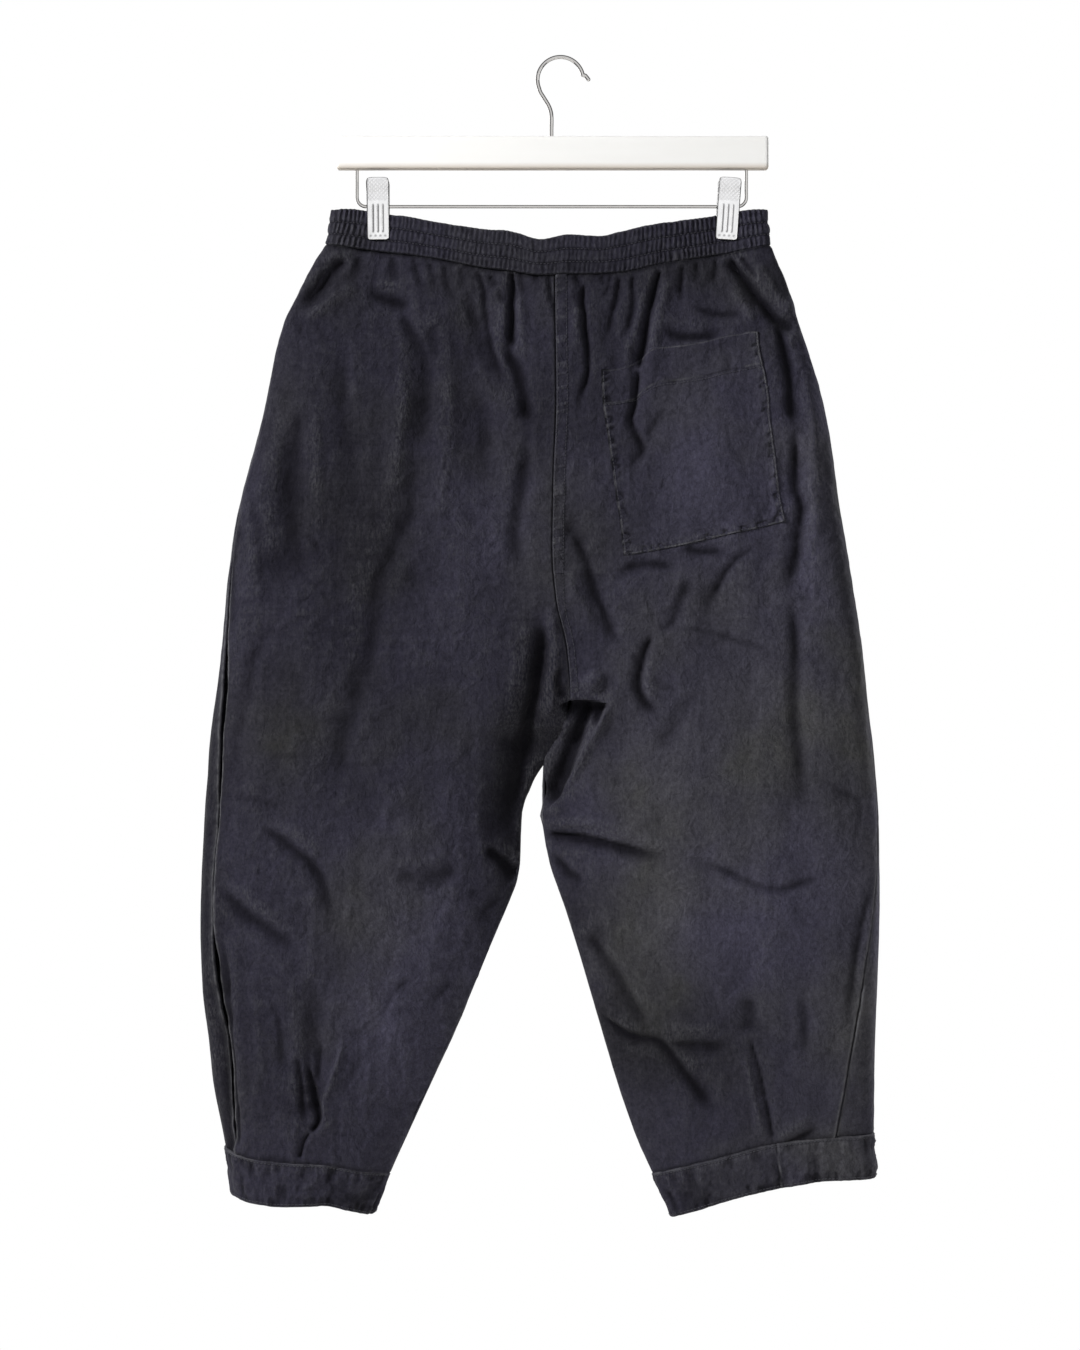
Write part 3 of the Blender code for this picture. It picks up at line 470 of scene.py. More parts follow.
    (-8.5, 6.5, 4, 1.5, 0, 0.05, 0.12,
     [(729, 258), (738, 270), (750, 286), (762, 303), (775, 319), (796, 332)]),
    (-2.6, 4, 4, 1.7, 0, 0.1, 0.4, [(741, 256), (749, 268), (757, 281)]),
    (3.4, 8, 7, 1.9, 0, 0.15, 0.3, [(756, 262), (768, 283), (782, 304), (799, 318)]),
    (2.0, 7, 7, 2, 0, 0.2, 0.3, [(730, 288), (744, 306), (758, 322)]),
    (-5.6, 5, 6, 1.6, 0, 0.12, 0.2,
     [(775, 324), (780, 342), (784, 356), (789, 388), (789, 406), (792, 434)]),
    (-4.4, 7, 6, 1.8, 0, 0.2, 0.2,
     [(790, 425), (794, 463), (793, 490), (798, 509), (794, 543), (791, 579), (790, 602)]),
    (-1.2, 3, 3, 1.6, 0, 0.3, 0.4, [(791, 346), (797, 348), (804, 351)]),
    (-0.96, 3, 3.5, 1.6, 0, 0.3, 0.4, [(812, 496), (806, 508), (801, 522)]),
    (-3.6, 8, 7, 1.9, 0, 0.2, 0.3,
     [(790, 590), (794, 640), (793, 684), (793, 726), (796, 760), (798, 792), (806, 824)]),
    (2.4, 7, 8, 2, 0, 0.2, 0.4, [(804, 360), (809, 410), (812, 470), (812, 540), (808, 600)]),
    # ---- below the pocket and beside the centre seam
    (-3.0, 6, 4.5, 1.7, 0, 0.3, 0.3, [(612, 575), (630, 568), (651, 564), (668, 566), (681, 571)]),
    (-2.8, 4, 3.5, 1.6, 0, 0.2, 0.4, [(679, 547), (694, 552), (712, 554), (730, 551)]),
    (-2.8, 5, 4, 1.6, 0, 0.2, 0.4, [(758, 548), (738, 556), (723, 574), (710, 596), (697, 617)]),
    (-2.6, 5, 5, 1.7, 0, 0.25, 0.3, [(692, 573), (681, 596), (671, 621), (651, 635)]),
    (-4.6, 6, 3, 1.5, 0, 0.15, 0.3,
     [(652, 632), (643, 657), (638, 681), (642, 696), (654, 711), (661, 722)]),
    (2.0, 4, 8, 1.8, 0, 0.3, 0.4, [(655, 648), (648, 672), (650, 690), (664, 708)]),
    (-1.08, 4, 3.5, 1.6, 0, 0.3, 0.4, [(644, 674), (662, 685), (684, 697)]),
    (-0.96, 3, 3, 1.6, 0, 0.3, 0.4, [(616, 647), (630, 656), (641, 666)]),
    (-1.32, 4, 3.5, 1.6, 0, 0.3, 0.4, [(663, 624), (692, 631), (723, 638), (756, 647), (790, 668)]),
    (-2.8, 10, 10, 2, 0, 0.3, 0.4, [(706, 694), (684, 706), (666, 734), (662, 760)]),
    (-2.6, 8, 8, 2, 0, 0.3, 0.4, [(566, 520), (574, 536), (590, 552)]),
    (-3.6, 5, 4, 1.6, 0, 0.15, 0.3,
     [(572, 535), (584, 556), (592, 578), (599, 604), (611, 634), (625, 656)]),
    (1.8, 6, 6, 2, 0, 0.3, 0.4, [(562, 560), (576, 590), (588, 622), (598, 652)]),
    # ---- crotch: the cloth folds over itself above the right leg
    (4.5, 7, 7, 1.9, 0, 0.25, 0.1, [(549, 600), (552, 650), (553, 690), (549, 720)]),
    (5.0, 14, 9, 2, 0, 0.4, 0.3, [(584, 690), (592, 680), (604, 684)]),
    (-3.4, 2.6, 2.6, 1.5, 0, 0.2, 0.2, [(559, 666), (557.5, 676), (559.5, 690), (563, 699)]),
    (1.4, 2, 2, 1.6, 0, 0.2, 0.2, [(561, 664), (554, 676), (555, 690), (562, 701), (570, 706)]),
    (-12.0, 13, 2.0, 2.2, 0, 0.06, 0.08, [(562, 708), (575, 704), (590, 704), (606, 709)]),
    (-11.0, 9, 8, 2.4, 0, 0.04, 0.18,
     [(588, 704), (578, 735), (566, 760), (556, 785), (549, 806)]),
    (4.6, 2.6, 4.0, 1.6, -1.6, 0.08, 0.12,
     [(609, 703), (602, 722), (588, 750), (572, 776), (557, 802), (549, 816)]),
    (0.96, 1.6, 1.6, 1.5, 0, 0.3, 0.3, [(575, 714), (568, 730), (561, 748), (553, 777)]),
    # strong fold across the top of the right leg
    (3.4, 3, 8, 1.7, 0, 0.1, 0.25,
     [(544, 819), (561, 823), (590, 822), (620, 831), (650, 842), (684, 852)]),
    (-7.0, 9.5, 2.4, 1.6, 0, 0.08, 0.5,
     [(545, 831), (575, 834), (600, 837), (640, 849), (684, 858)]),
    (-2.0, 5, 4, 1.8, 0, 0.25, 0.35, [(684, 857), (722, 868), (772, 886), (814, 874), (848, 864)]),
    (-3.0, 6, 5, 1.9, 0, 0.3, 0.3, [(549, 850), (566, 870), (590, 884)]),
    # ---- right leg
    (-1.32, 4, 3.5, 1.6, 0, 0.3, 0.4, [(808, 774), (832, 788), (856, 803), (853, 846)]),
    (-2.2, 8, 8, 2, 0, 0.3, 0.4, [(607, 922), (598, 938), (594, 952)]),
    (-3.2, 8, 6, 1.8, 0, 0.2, 0.25,
     [(586, 928), (602, 950), (618, 975), (631, 1000), (644, 1020), (656, 1038)]),
    (-4.6, 5, 4.5, 1.6, 0.4, 0.15, 0.3,
     [(596, 1012), (614, 1026), (632, 1034), (659, 1040), (678, 1062), (697, 1088), (722, 1120)]),
    (-3.4, 8, 4, 1.8, 0, 0.2, 0.3, [(668, 1041), (694, 1043), (716, 1043), (734, 1040)]),
    (2.6, 8, 10, 2, 0, 0.3, 0.3, [(664, 1022), (692, 1026), (722, 1024)]),
    (-3.6, 9, 7, 1.9, 0, 0.3, 0.2, [(748, 990), (750, 1010), (750, 1032)]),
    (-3.0, 2.4, 2.2, 1.4, 0.5, 0.15, 0.1,
     [(749, 1030), (753, 1052), (759, 1079), (765, 1108), (771, 1140)]),
    (2.0, 5, 3, 1.8, 0, 0.2, 0.2, [(742, 1042), (747, 1072), (754, 1104), (761, 1138)]),
    (2.2, 4, 5, 1.7, 0, 0.25, 0.4, [(772, 1137), (790, 1124), (816, 1109)]),
    (-2.4, 4, 3.5, 1.7, 0, 0.25, 0.4, [(776, 1145), (800, 1131), (826, 1120)]),
    (-2.4, 9, 9, 2, 0, 0.3, 0.3, [(690, 1060), (700, 1080), (706, 1104)]),
    (-2.0, 5, 5, 1.9, 0, 0.3, 0.3, [(800, 985), (804, 1020), (802, 1060)]),
    (-2.2, 5, 5, 1.9, 0, 0.3, 0.3, [(872, 850), (862, 910), (850, 975), (842, 1050)]),
]
FRONT_FOLDS = [
    (-5.0, 8, 8, 1.8, 0, 0.1, 0.4, [(336, 256), (316, 290), (300, 320)]),
    (-5.0, 7, 8, 1.8, 0, 0.1, 0.4, [(752, 256), (774, 300), (796, 336)]),
    (-4.5, 5, 6, 1.5, 0.5, 0.05, 0.4, [(452, 270), (456, 330), (470, 400), (480, 460)]),
    (-5.0, 5, 4, 1.5, 0.5, 0.05, 0.35, [(528, 280), (530, 330), (524, 400), (516, 470)]),
    (-4.6, 4, 5, 1.5, 0.5, 0.05, 0.4, [(606, 278), (604, 330), (612, 390), (622, 440)]),
    (-4.4, 5, 4, 1.5, 0.5, 0.05, 0.4, [(668, 272), (664, 330), (656, 400)]),
    (-4.0, 14, 12, 2, 0, 0.2, 0.3, [(412, 340), (402, 460), (384, 580), (360, 700)]),
    (-4.0, 12, 14, 2, 0, 0.2, 0.3, [(744, 360), (764, 460), (780, 600), (786, 720)]),
    (-3.5, 10, 9, 2, 0, 0.2, 0.3, [(300, 420), (294, 500), (300, 600)]),
    (-3.0, 9, 9, 2, 0, 0.3, 0.3, [(830, 460), (840, 560), (846, 680)]),
    (-5.0, 8, 6, 1.8, 0, 0.2, 0.3, [(586, 640), (606, 690), (640, 740)]),
    (-5.0, 8, 6, 1.8, 0, 0.2, 0.3, [(538, 640), (516, 700), (480, 760)]),
    (-4.0, 10, 8, 1.9, 0, 0.2, 0.3, [(276, 850), (316, 880), (352, 930)]),
    (-4.0, 10, 8, 1.9, 0, 0.2, 0.3, [(640, 920), (690, 960), (746, 1010)]),
    (-3.6, 8, 8, 1.9, 0, 0.2, 0.3, [(300, 980), (304, 1050), (312, 1130)]),
    (-3.6, 8, 8, 1.9, 0, 0.2, 0.3, [(776, 1010), (780, 1070), (786, 1130)]),
    (-3.0, 7, 7, 1.9, 0, 0.3, 0.3, [(700, 840), (760, 870), (830, 866)]),
    (3.0, 18, 18, 2, 0, 0.3, 0.3, [(430, 600), (424, 720), (400, 840)]),
    (3.0, 20, 20, 2, 0, 0.3, 0.3, [(700, 600), (716, 720), (722, 860)]),
]
# The front is hidden, so its gathers are spread unevenly from these sizes.
FRONT_GATHERS = {"count": 34, "seed": 11, "depth": (1.2, 3.2), "reach": (12, 46)}


def smooth_line(points, step):
    """Places about step apart on a smooth line through the given ones."""
    p = np.array(points, float)
    if len(p) == 2:
        p = np.array([p[0], (p[0] + p[1]) / 2, p[1]])
    ends = np.concatenate([[2 * p[0] - p[1]], p, [2 * p[-1] - p[-2]]])
    found = []
    for a, b, c, d in zip(ends, ends[1:], ends[2:], ends[3:]):
        count = max(1, int(round(np.linalg.norm(c - b) / step)))
        s = (np.arange(count) / count)[:, None]
        found.append(
            0.5
            * (
                2 * b
                + (c - a) * s
                + (2 * a - 5 * b + 4 * c - d) * s**2
                + (3 * b - a - 3 * c + d) * s**3
            )
        )
    return np.concatenate(found + [p[-1:]])


def near_line(line, x, y, reach):
    """For places within reach of a line: which they are, how far off it to side b, how
    far along it from 0 to 1, and the direction to side b."""
    low, high = line.min(0) - reach, line.max(0) + reach
    inside = np.nonzero((x > low[0]) & (x < high[0]) & (y > low[1]) & (y < high[1]))[0]
    if not len(inside):
        return inside, None, None, None
    px, py = x[inside], y[inside]
    best = np.full(len(inside), 1e9)
    off, along = np.zeros(len(inside)), np.zeros(len(inside))
    nx, ny = np.zeros(len(inside)), np.zeros(len(inside))
    steps = np.diff(line, axis=0)
    lengths = np.linalg.norm(steps, axis=1)
    starts = np.concatenate([[0], np.cumsum(lengths)])
    for k, (a, d, length) in enumerate(zip(line[:-1], steps, lengths)):
        ux, uy = d / length
        s = (px - a[0]) * ux + (py - a[1]) * uy
        low_s = -1e9 if k == 0 else 0.0
        high_s = 1e9 if k == len(steps) - 1 else length
        sc = np.clip(s, low_s, high_s)
        dx, dy = px - a[0] - sc * ux, py - a[1] - sc * uy
        dist = np.hypot(dx, dy)
        closer = dist < best
        best[closer] = dist[closer]
        cross = (px - a[0]) * uy - (py - a[1]) * ux
        off[closer] = np.copysign(dist, cross)[closer]
        along[closer] = ((starts[k] + sc) / starts[-1])[closer]
        nx[closer], ny[closer] = uy, -ux
    return inside, off, along, (nx, ny)


def lay_folds(table, x, y):
    """Height out of the cloth, sideways shift, and painted shade of the troughs at places on the photograph."""
    shape = x.shape
    x, y = x.ravel(), y.ravel()
    wx = x + 1.6 * noise(x, y, 38, 71) + 0.6 * noise(x, y, 13, 72)
    wy = y + 1.6 * noise(x, y, 38, 73) + 0.6 * noise(x, y, 13, 74)
    height, shift = np.zeros(len(x)), np.zeros((2, len(x)))
    lit = np.ones(len(x))
    for number, row in enumerate(table):
        f = dict(zip(FOLD_COLUMNS.split(), row))
        line = smooth_line(f["line"], 5.0)
        reach = 3.6 * max(f["side_a"], f["side_b"])
        inside, off, along, across = near_line(line, wx, wy, reach)
        if not len(inside):
            continue
        length = np.linalg.norm(np.diff(line, axis=0), axis=1).sum()
        over_a = np.minimum(along, 0) * length / (f["side_a"] + f["side_b"])
        over_b = np.maximum(along - 1, 0) * length / (f["side_a"] + f["side_b"])
        ends = ease(along / f["fade_a"]) * ease((1 - along) / f["fade_b"])
        uneven = 1 + 0.16 * noise(along * length, 0 * along, 17, 200 + number)
        width = np.where(off < 0, f["side_a"], f["side_b"]) * (
            1 + 0.14 * noise(along * length, 0 * along + 9, 23, 400 + number)
        )
        width = width * (0.6 + 0.4 * ease(along / 0.3)) * (1 + 0.3 * ease((along - 0.6) / 0.4))
        profile = np.exp(-((np.abs(off) / width) ** f["shape"]))
        fold = profile * ends * uneven * np.exp(-(over_a**2) - over_b**2)
        height[inside] += f["height"] * fold
        shift[0][inside] += f["lean"] * fold * across[0]
        shift[1][inside] += f["lean"] * fold * across[1]
        if f["height"] < 0:
            # the deeper and narrower a trough, the less light gets into it
            narrow = min(1.0, 8.0 / (f["side_a"] + f["side_b"]))
            depth = min(1.0, (abs(f["height"]) / 4.5) ** 0.9 * narrow)
            lit[inside] *= 1 - depth * np.clip(fold, 0, 1) ** 1.25
    return height.reshape(shape), shift.reshape((2,) + shape), (1 - lit).reshape(shape)


def front_like_back():
    """The back's folds come through on the front, moved aside and softer."""
    rows = []
    for number, row in enumerate(BACK_FOLDS):
        height, side_a, side_b, shape, lean, fade_a, fade_b, line = row
        if abs(height) > 6 or number % 7 == 3:
            continue
        line = [
            (x + 9 * math.sin(1.7 * number) + 5 * math.sin(y / 47), y + 12 + 7 * math.cos(2.3 * number))
            for x, y in line
        ]
        rows.append((0.8 * height, side_a * 1.15, side_b * 1.15, shape, lean, fade_a, fade_b, line))
    return rows


def front_gathers():
    """Uneven gathers under the front of the waistband."""
    rng = np.random.default_rng(FRONT_GATHERS["seed"])
    rows = []
    for k in range(FRONT_GATHERS["count"]):
        x = 345 + (k + rng.uniform(-0.35, 0.35)) * 400 / (FRONT_GATHERS["count"] - 1)
        top = ORIGIN_Y - float(BAND.at("seam", (x - ORIGIN_X) * UNIT)) / UNIT
        depth = rng.uniform(*FRONT_GATHERS["depth"])
        reach = rng.uniform(*FRONT_GATHERS["reach"])
        drift = rng.uniform(-5, 5)
        width = rng.uniform(2.4, 4.0)
        line = [(x, top - 2), (x + drift * 0.4, top + reach / 2), (x + drift, top + reach)]
        rows.append((-depth, width, width + 0.6, 1.6, 0, 0.05, 0.5, line))
    return rows


# ===================================================================== seams
# Lines of stitching and turned edges on the back, as the photograph shows them.
CENTRE_TOPSTITCH = 12.0  # the raised strip at the right of the centre seam
POCKET_TOP = [
    (600.5, 371.5), (612, 371), (625, 368.5), (633.5, 364.5), (642.5, 357), (652, 351),
    (664, 348.5), (675, 347.5), (690, 346), (705, 343), (722, 338.5), (738, 335.5),
    (748, 333.5), (757, 333.5),
]
POCKET_RIGHT = [
    (757, 333.5), (759, 356), (764, 379), (767, 400), (768, 420), (773, 459), (777.5, 495),
    (783, 523.5),
]
POCKET_BOTTOM = [
    (622.5, 557.5), (651, 553), (687, 546), (728, 536.5), (756, 530.5), (783, 523.5),
]
POCKET_LEFT = [
    (600.5, 371.5), (602, 406), (606, 434), (611, 470), (615, 500), (618.5, 522), (622.5, 557.5),
]
POCKET_HEM = 36.0  # depth of the turned top hem


def resample(points, shares):
    line = smooth_line(points, 1.0)
    length = np.concatenate([[0], np.cumsum(np.linalg.norm(np.diff(line, axis=0), axis=1))])
    s = np.asarray(shares) * length[-1]
    return np.stack([np.interp(s, length, line[:, k]) for k in (0, 1)], -1)


def even(count):
    return np.linspace(0, 1, count)


def close_at_ends(count):
    return even(count) - 0.82 * np.sin(2 * math.pi * even(count)) / (2 * math.pi)


def pocket_outline_grid(u, v):
    """Places inside the pocket's outline, blended from its four edges."""
    top, low = resample(POCKET_TOP, u), resample(POCKET_BOTTOM, u)
    left, right = resample(POCKET_LEFT, v), resample(POCKET_RIGHT, v)
    u, v = u[None, :, None], v[:, None, None]
    ruled = (1 - v) * top[None] + v * low[None] + (1 - u) * left[:, None] + u * right[:, None]
    corners = (
        (1 - u) * (1 - v) * top[0] + u * (1 - v) * top[-1] + (1 - u) * v * low[0] + u * v * low[-1]
    )
    return ruled - corners


# ===================================================================== relief of the cloth
def back_relief(x, z):
    """Height and sideways shift of the back's cloth at x and z."""
    px, py = x / UNIT + ORIGIN_X, -z / UNIT + ORIGIN_Y
    height, shift, dark = lay_folds(BACK_FOLDS, px, py)
    hips = 1 - ease((py - 480) / 200)
    drawn = 0.62 + 0.30 * (1 - hips)  # the hips hang in upright folds, the legs crumple all ways
    fine = 0.85 * crumple(px * 1.2, py * drawn, 22, 5) + 0.42 * crumple(px, py * 0.9, 9.5, 9)
    fine += 1.3 * noise(px * 1.25, py * 0.5, 36, 17) + 1.5 * noise(px * 0.9, py * 0.55, 68, 18)
    fine += 0.5 * crumple(0.8 * px + 0.6 * py, 0.8 * py - 0.6 * px, 30, 19) * (1 - 0.6 * hips)
    calm = 1 - 0.25 * ease((py - 560) / 200) * ease((px - 600) / 60)
    return height + fine * calm, shift, dark


def front_relief(x, z):
    px, py = x / UNIT + ORIGIN_X, -z / UNIT + ORIGIN_Y
    height, shift, dark = lay_folds(
        FRONT_FOLDS + front_like_back() + front_gathers(), px, py
    )
    fine = 0.85 * crumple(px * 1.2, py * 0.8, 22, 35) + 0.4 * crumple(px, py, 10, 39)
    fine += 1.3 * noise(px * 1.25, py * 0.5, 36, 47) + 1.5 * noise(px * 0.9, py * 0.55, 68, 48)
    return height + fine, shift, dark


def blur(a, rows, columns):
    """A smooth average over a grid."""
    for axis, reach in ((0, rows), (1, columns)):
        for _ in range(2):
            padded = np.concatenate(
                [
                    np.repeat(np.take(a, [0], axis), reach, axis),
                    a,
                    np.repeat(np.take(a, [-1], axis), reach + 1, axis),
                ],
                axis,
            )
            total = np.cumsum(padded, axis)
            n = a.shape[axis]
            hi = np.take(total, range(2 * reach, 2 * reach + n), axis)
            lo = np.take(total, range(0, n), axis)
            a = (hi - lo) / (2 * reach)
    return a


# ===================================================================== tone of the cloth
# Painted light and shade, with some uneven fading of the dye: each soft patch makes the cloth lighter (above zero) or
# darker round one place on the photograph, mostly standing in for how light falls; widths and heights are its half
# sizes there.
PAINTED_LIGHT_AND_FADE_COLUMNS = "tone x y half_width half_height"
PAINTED_LIGHT_AND_FADE_PATCHES = [
    # left half: painted shade on the hip, outer edge and inner thigh, painted light on the seat, thigh and inner shin
    (-0.42, 310, 460, 80, 150), (-0.80, 203, 900, 24, 330), (-0.20, 236, 1060, 34, 100), (-0.42, 205, 700, 22, 160),
    (0.30, 490, 560, 60, 110), (0.22, 400, 820, 90, 80), (0.34, 430, 930, 60, 80),
    (0.52, 410, 1060, 60, 130), (-0.25, 360, 640, 50, 130), (-0.12, 310, 1080, 30, 60),
    (-0.75, 526, 730, 24, 95), (-0.95, 512, 818, 24, 62), (-0.14, 545, 690, 22, 60),
    # painted shade under the waistband
    (-0.26, 560, 275, 260, 26), (-0.34, 598, 350, 24, 70), (-0.36, 436, 330, 46, 40), (-0.34, 540, 420, 22, 60),
    # right half: painted light on the seat, leg and outer edge, painted shade in a hollow above the shin and by the
    # inner leg
    (0.26, 720, 440, 80, 120), (0.46, 750, 700, 130, 190), (0.42, 740, 920, 150, 110),
    (0.50, 806, 500, 36, 170), (0.62, 872, 800, 24, 300), (0.36, 846, 1080, 60, 120),
    (-0.62, 655, 1052, 70, 32), (-0.62, 566, 930, 20, 60), (-0.50, 606, 1020, 20, 40),
    (0.18, 620, 800, 50, 60),
    # stronger single places
    (0.28, 652, 855, 36, 100), (0.20, 765, 740, 70, 80), (0.16, 700, 460, 60, 80), (0.40, 825, 1155, 60, 26),
    (0.20, 372, 1030, 60, 70), (-0.26, 375, 520, 60, 95), (-0.16, 300, 300, 50, 40),
]


OLIVE_COLUMNS = "share x y half_width half_height"
OLIVE_PATCHES = [
    (0.9, 655, 860, 42, 105), (0.7, 770, 740, 90, 90), (0.8, 862, 640, 34, 260), (0.7, 280, 725, 42, 62),
    (0.5, 285, 410, 30, 50), (0.5, 580, 540, 40, 40), (0.5, 705, 600, 50, 40), (0.8, 645, 1000, 50, 70),
    (0.8, 825, 1150, 60, 26), (0.5, 846, 1040, 40, 80), (0.5, 350, 905, 40, 40), (0.4, 700, 280, 60, 20),
    (0.6, 600, 1140, 40, 30),
]


def olive_of(points):
    """How far the dye has turned from purple to olive at each point."""
    x, y = points[..., 0] / UNIT + ORIGIN_X, -points[..., 2] / UNIT + ORIGIN_Y
    x, y = x + 12 * noise(x, y, 40, 811), y + 16 * noise(x, y, 40, 812)
    total = np.zeros_like(x)
    for row in OLIVE_PATCHES:
        f = dict(zip(OLIVE_COLUMNS.split(), row))
        total = total + f["share"] * np.exp(
            -(((x - f["x"]) / f["half_width"]) ** 2) - ((y - f["y"]) / f["half_height"]) ** 2
        )
    return np.clip(total, 0, 1)


def painted_light_and_fade_of(points):
    """How much of its light the cloth keeps at each point, 1 being the plain dye: some random fading, and patches of
    painted light and shade.
    """
    x, y = points[..., 0] / UNIT + ORIGIN_X, -points[..., 2] / UNIT + ORIGIN_Y
    total = 0.10 * noise(x, y, 75, 801) + 0.06 * noise(x, y, 30, 802)
    for row in PAINTED_LIGHT_AND_FADE_PATCHES:
        f = dict(zip(PAINTED_LIGHT_AND_FADE_COLUMNS.split(), row))
        patch = np.exp(
            -(((x - f["x"]) / f["half_width"]) ** 2) - ((y - f["y"]) / f["half_height"]) ** 2
        )
        total = total + f["tone"] * patch * np.where(points[..., 1] < 4, 1.0, 0.4)
    return np.exp(1.1 * total + 0.165)


# ===================================================================== mesh making
def shown(piece, slot, *nodes):
    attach(piece, "root")
    if nodes:
        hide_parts(*nodes)
    return piece


def mesh_object(name, points, faces, finish, smooth=True):
    mesh = bpy.data.meshes.new(name)
    mesh.from_pydata((np.asarray(points).reshape(-1, 3) * MM).tolist(), [], faces)
    mesh.materials.append(finish)
    made = bpy.data.objects.new(name, mesh)
    bpy.context.scene.collection.objects.link(made)
    if smooth:
        mesh.shade_smooth()
    return made


def grid_faces(rows, columns, ring=False, turned=False):
    i, j = np.meshgrid(
        np.arange(rows - 1), np.arange(columns if ring else columns - 1), indexing="ij"
    )
    i, j = i.ravel(), j.ravel()
    k = (j + 1) % columns
    quads = np.stack(
        [i * columns + j, i * columns + k, (i + 1) * columns + k, (i + 1) * columns + j], -1
    )
    if turned:
        quads = quads[:, ::-1]
    return quads.tolist()


def attribute(piece, name, values):
    made = piece.data.attributes.new(name, "FLOAT", "POINT")
    made.data.foreach_set("value", np.asarray(values, np.float32).ravel())


def cloth_sheet(name, points, finish, thick, ring=False, turned=False, marks=None, inward=-1):
    """A grid of points made into a thin shell of cloth."""
    rows, columns = points.shape[:2]
    piece = mesh_object(name, points, grid_faces(rows, columns, ring, turned), finish)
    attribute(piece, "tone", painted_light_and_fade_of(points))
    attribute(piece, "olive", olive_of(points))
    for mark, values in (marks or {}).items():
        attribute(piece, mark, values)
    shell = piece.modifiers.new("thickness", "SOLIDIFY")
    shell.thickness = thick * MM
    shell.offset = inward
    shell.use_even_offset = False
    shell.use_rim = True
    return piece


# ===================================================================== materials
def material(name):
    made = bpy.data.materials.new(name)
    made.use_nodes = True
    made.node_tree.nodes.clear()
    return made, Wiring(made.node_tree)


class Wiring:
    """Short ways to add and join a material's nodes."""

    def __init__(self, tree):
        self.tree = tree
        self.output = self.add("ShaderNodeOutputMaterial")
        self.shader = self.add("ShaderNodeBsdfPrincipled")
        self.join(self.shader.outputs["BSDF"], self.output.inputs["Surface"])
        self.place = self.add("ShaderNodeTexCoord").outputs["Object"]

    def add(self, kind, **settings):
        node = self.tree.nodes.new(kind)
        for key, value in settings.items():
            setattr(node, key, value)
        return node

    def join(self, a, b):
        self.tree.links.new(a, b)

    def stretched(self, scale, turn=(0, 0, 0)):
        node = self.add("ShaderNodeMapping")
        node.inputs["Scale"].default_value = scale
        node.inputs["Rotation"].default_value = turn
        self.join(self.place, node.inputs["Vector"])
        return node.outputs["Vector"]

    def noise(self, scale, detail=3.0, rough=0.55, where=None, bend=0.0):
        node = self.add("ShaderNodeTexNoise")
        node.inputs["Scale"].default_value = scale
        node.inputs["Detail"].default_value = detail
        node.inputs["Roughness"].default_value = rough
        node.inputs["Distortion"].default_value = bend
        self.join(where or self.place, node.inputs["Vector"])
        return node.outputs["Fac"]

    def wave(self, scale, axis, bend=0.0, where=None):
        node = self.add("ShaderNodeTexWave", wave_type="BANDS", bands_direction=axis)
        node.inputs["Scale"].default_value = scale
        node.inputs["Distortion"].default_value = bend
        node.inputs["Detail"].default_value = 1.0
        self.join(where or self.place, node.inputs["Vector"])
        return node.outputs["Fac"]

    def ramp(self, value, stops):
        node = self.add("ShaderNodeValToRGB")
        while len(node.color_ramp.elements) < len(stops):
            node.color_ramp.elements.new(0.5)
        for element, (where, colour) in zip(node.color_ramp.elements, stops):
            element.position = where
            element.color = (*colour, 1) if len(colour) == 3 else colour
        self.join(value, node.inputs["Fac"])
        return node.outputs["Color"]

    def grey(self, value, low, high, to_low=0.0, to_high=1.0):
        node = self.add("ShaderNodeMapRange")
        node.inputs["From Min"].default_value = low
        node.inputs["From Max"].default_value = high
        node.inputs["To Min"].default_value = to_low
        node.inputs["To Max"].default_value = to_high
        self.join(value, node.inputs["Value"])
        return node.outputs["Result"]

    def sum(self, a, b, kind="ADD"):
        node = self.add("ShaderNodeMath", operation=kind)
        for value, slot in ((a, node.inputs[0]), (b, node.inputs[1])):
            if isinstance(value, (int, float)):
                slot.default_value = value
            else:
                self.join(value, slot)
        return node.outputs[0]

    def mix(self, share, a, b, kind="MIX"):
        node = self.add("ShaderNodeMix", data_type="RGBA", blend_type=kind)
        node.clamp_factor = True
        if isinstance(share, (int, float)):
            node.inputs[0].default_value = share
        else:
            self.join(share, node.inputs[0])
        for value, slot in ((a, node.inputs[6]), (b, node.inputs[7])):
            if isinstance(value, tuple):
                slot.default_value = (*value, 1)
            else:
                self.join(value, slot)
        return node.outputs[2]

    def mark(self, name):
        return self.add("ShaderNodeAttribute", attribute_name=name).outputs["Fac"]

    def bump(self, height, distance, strength=1.0, under=None):
        node = self.add("ShaderNodeBump")
        node.inputs["Strength"].default_value = strength
        node.inputs["Distance"].default_value = distance
        self.join(height, node.inputs["Height"])
        if under is not None:
            self.join(under, node.inputs["Normal"])
        return node.outputs["Normal"]


CLOTH_PURPLE = (0.0236, 0.0222, 0.0342)
CLOTH_OLIVE = (0.0264, 0.0262, 0.0258)
CLOTH_DARK = (0.0145, 0.0137, 0.0206)
CLOTH_PALE = (0.112, 0.112, 0.120)


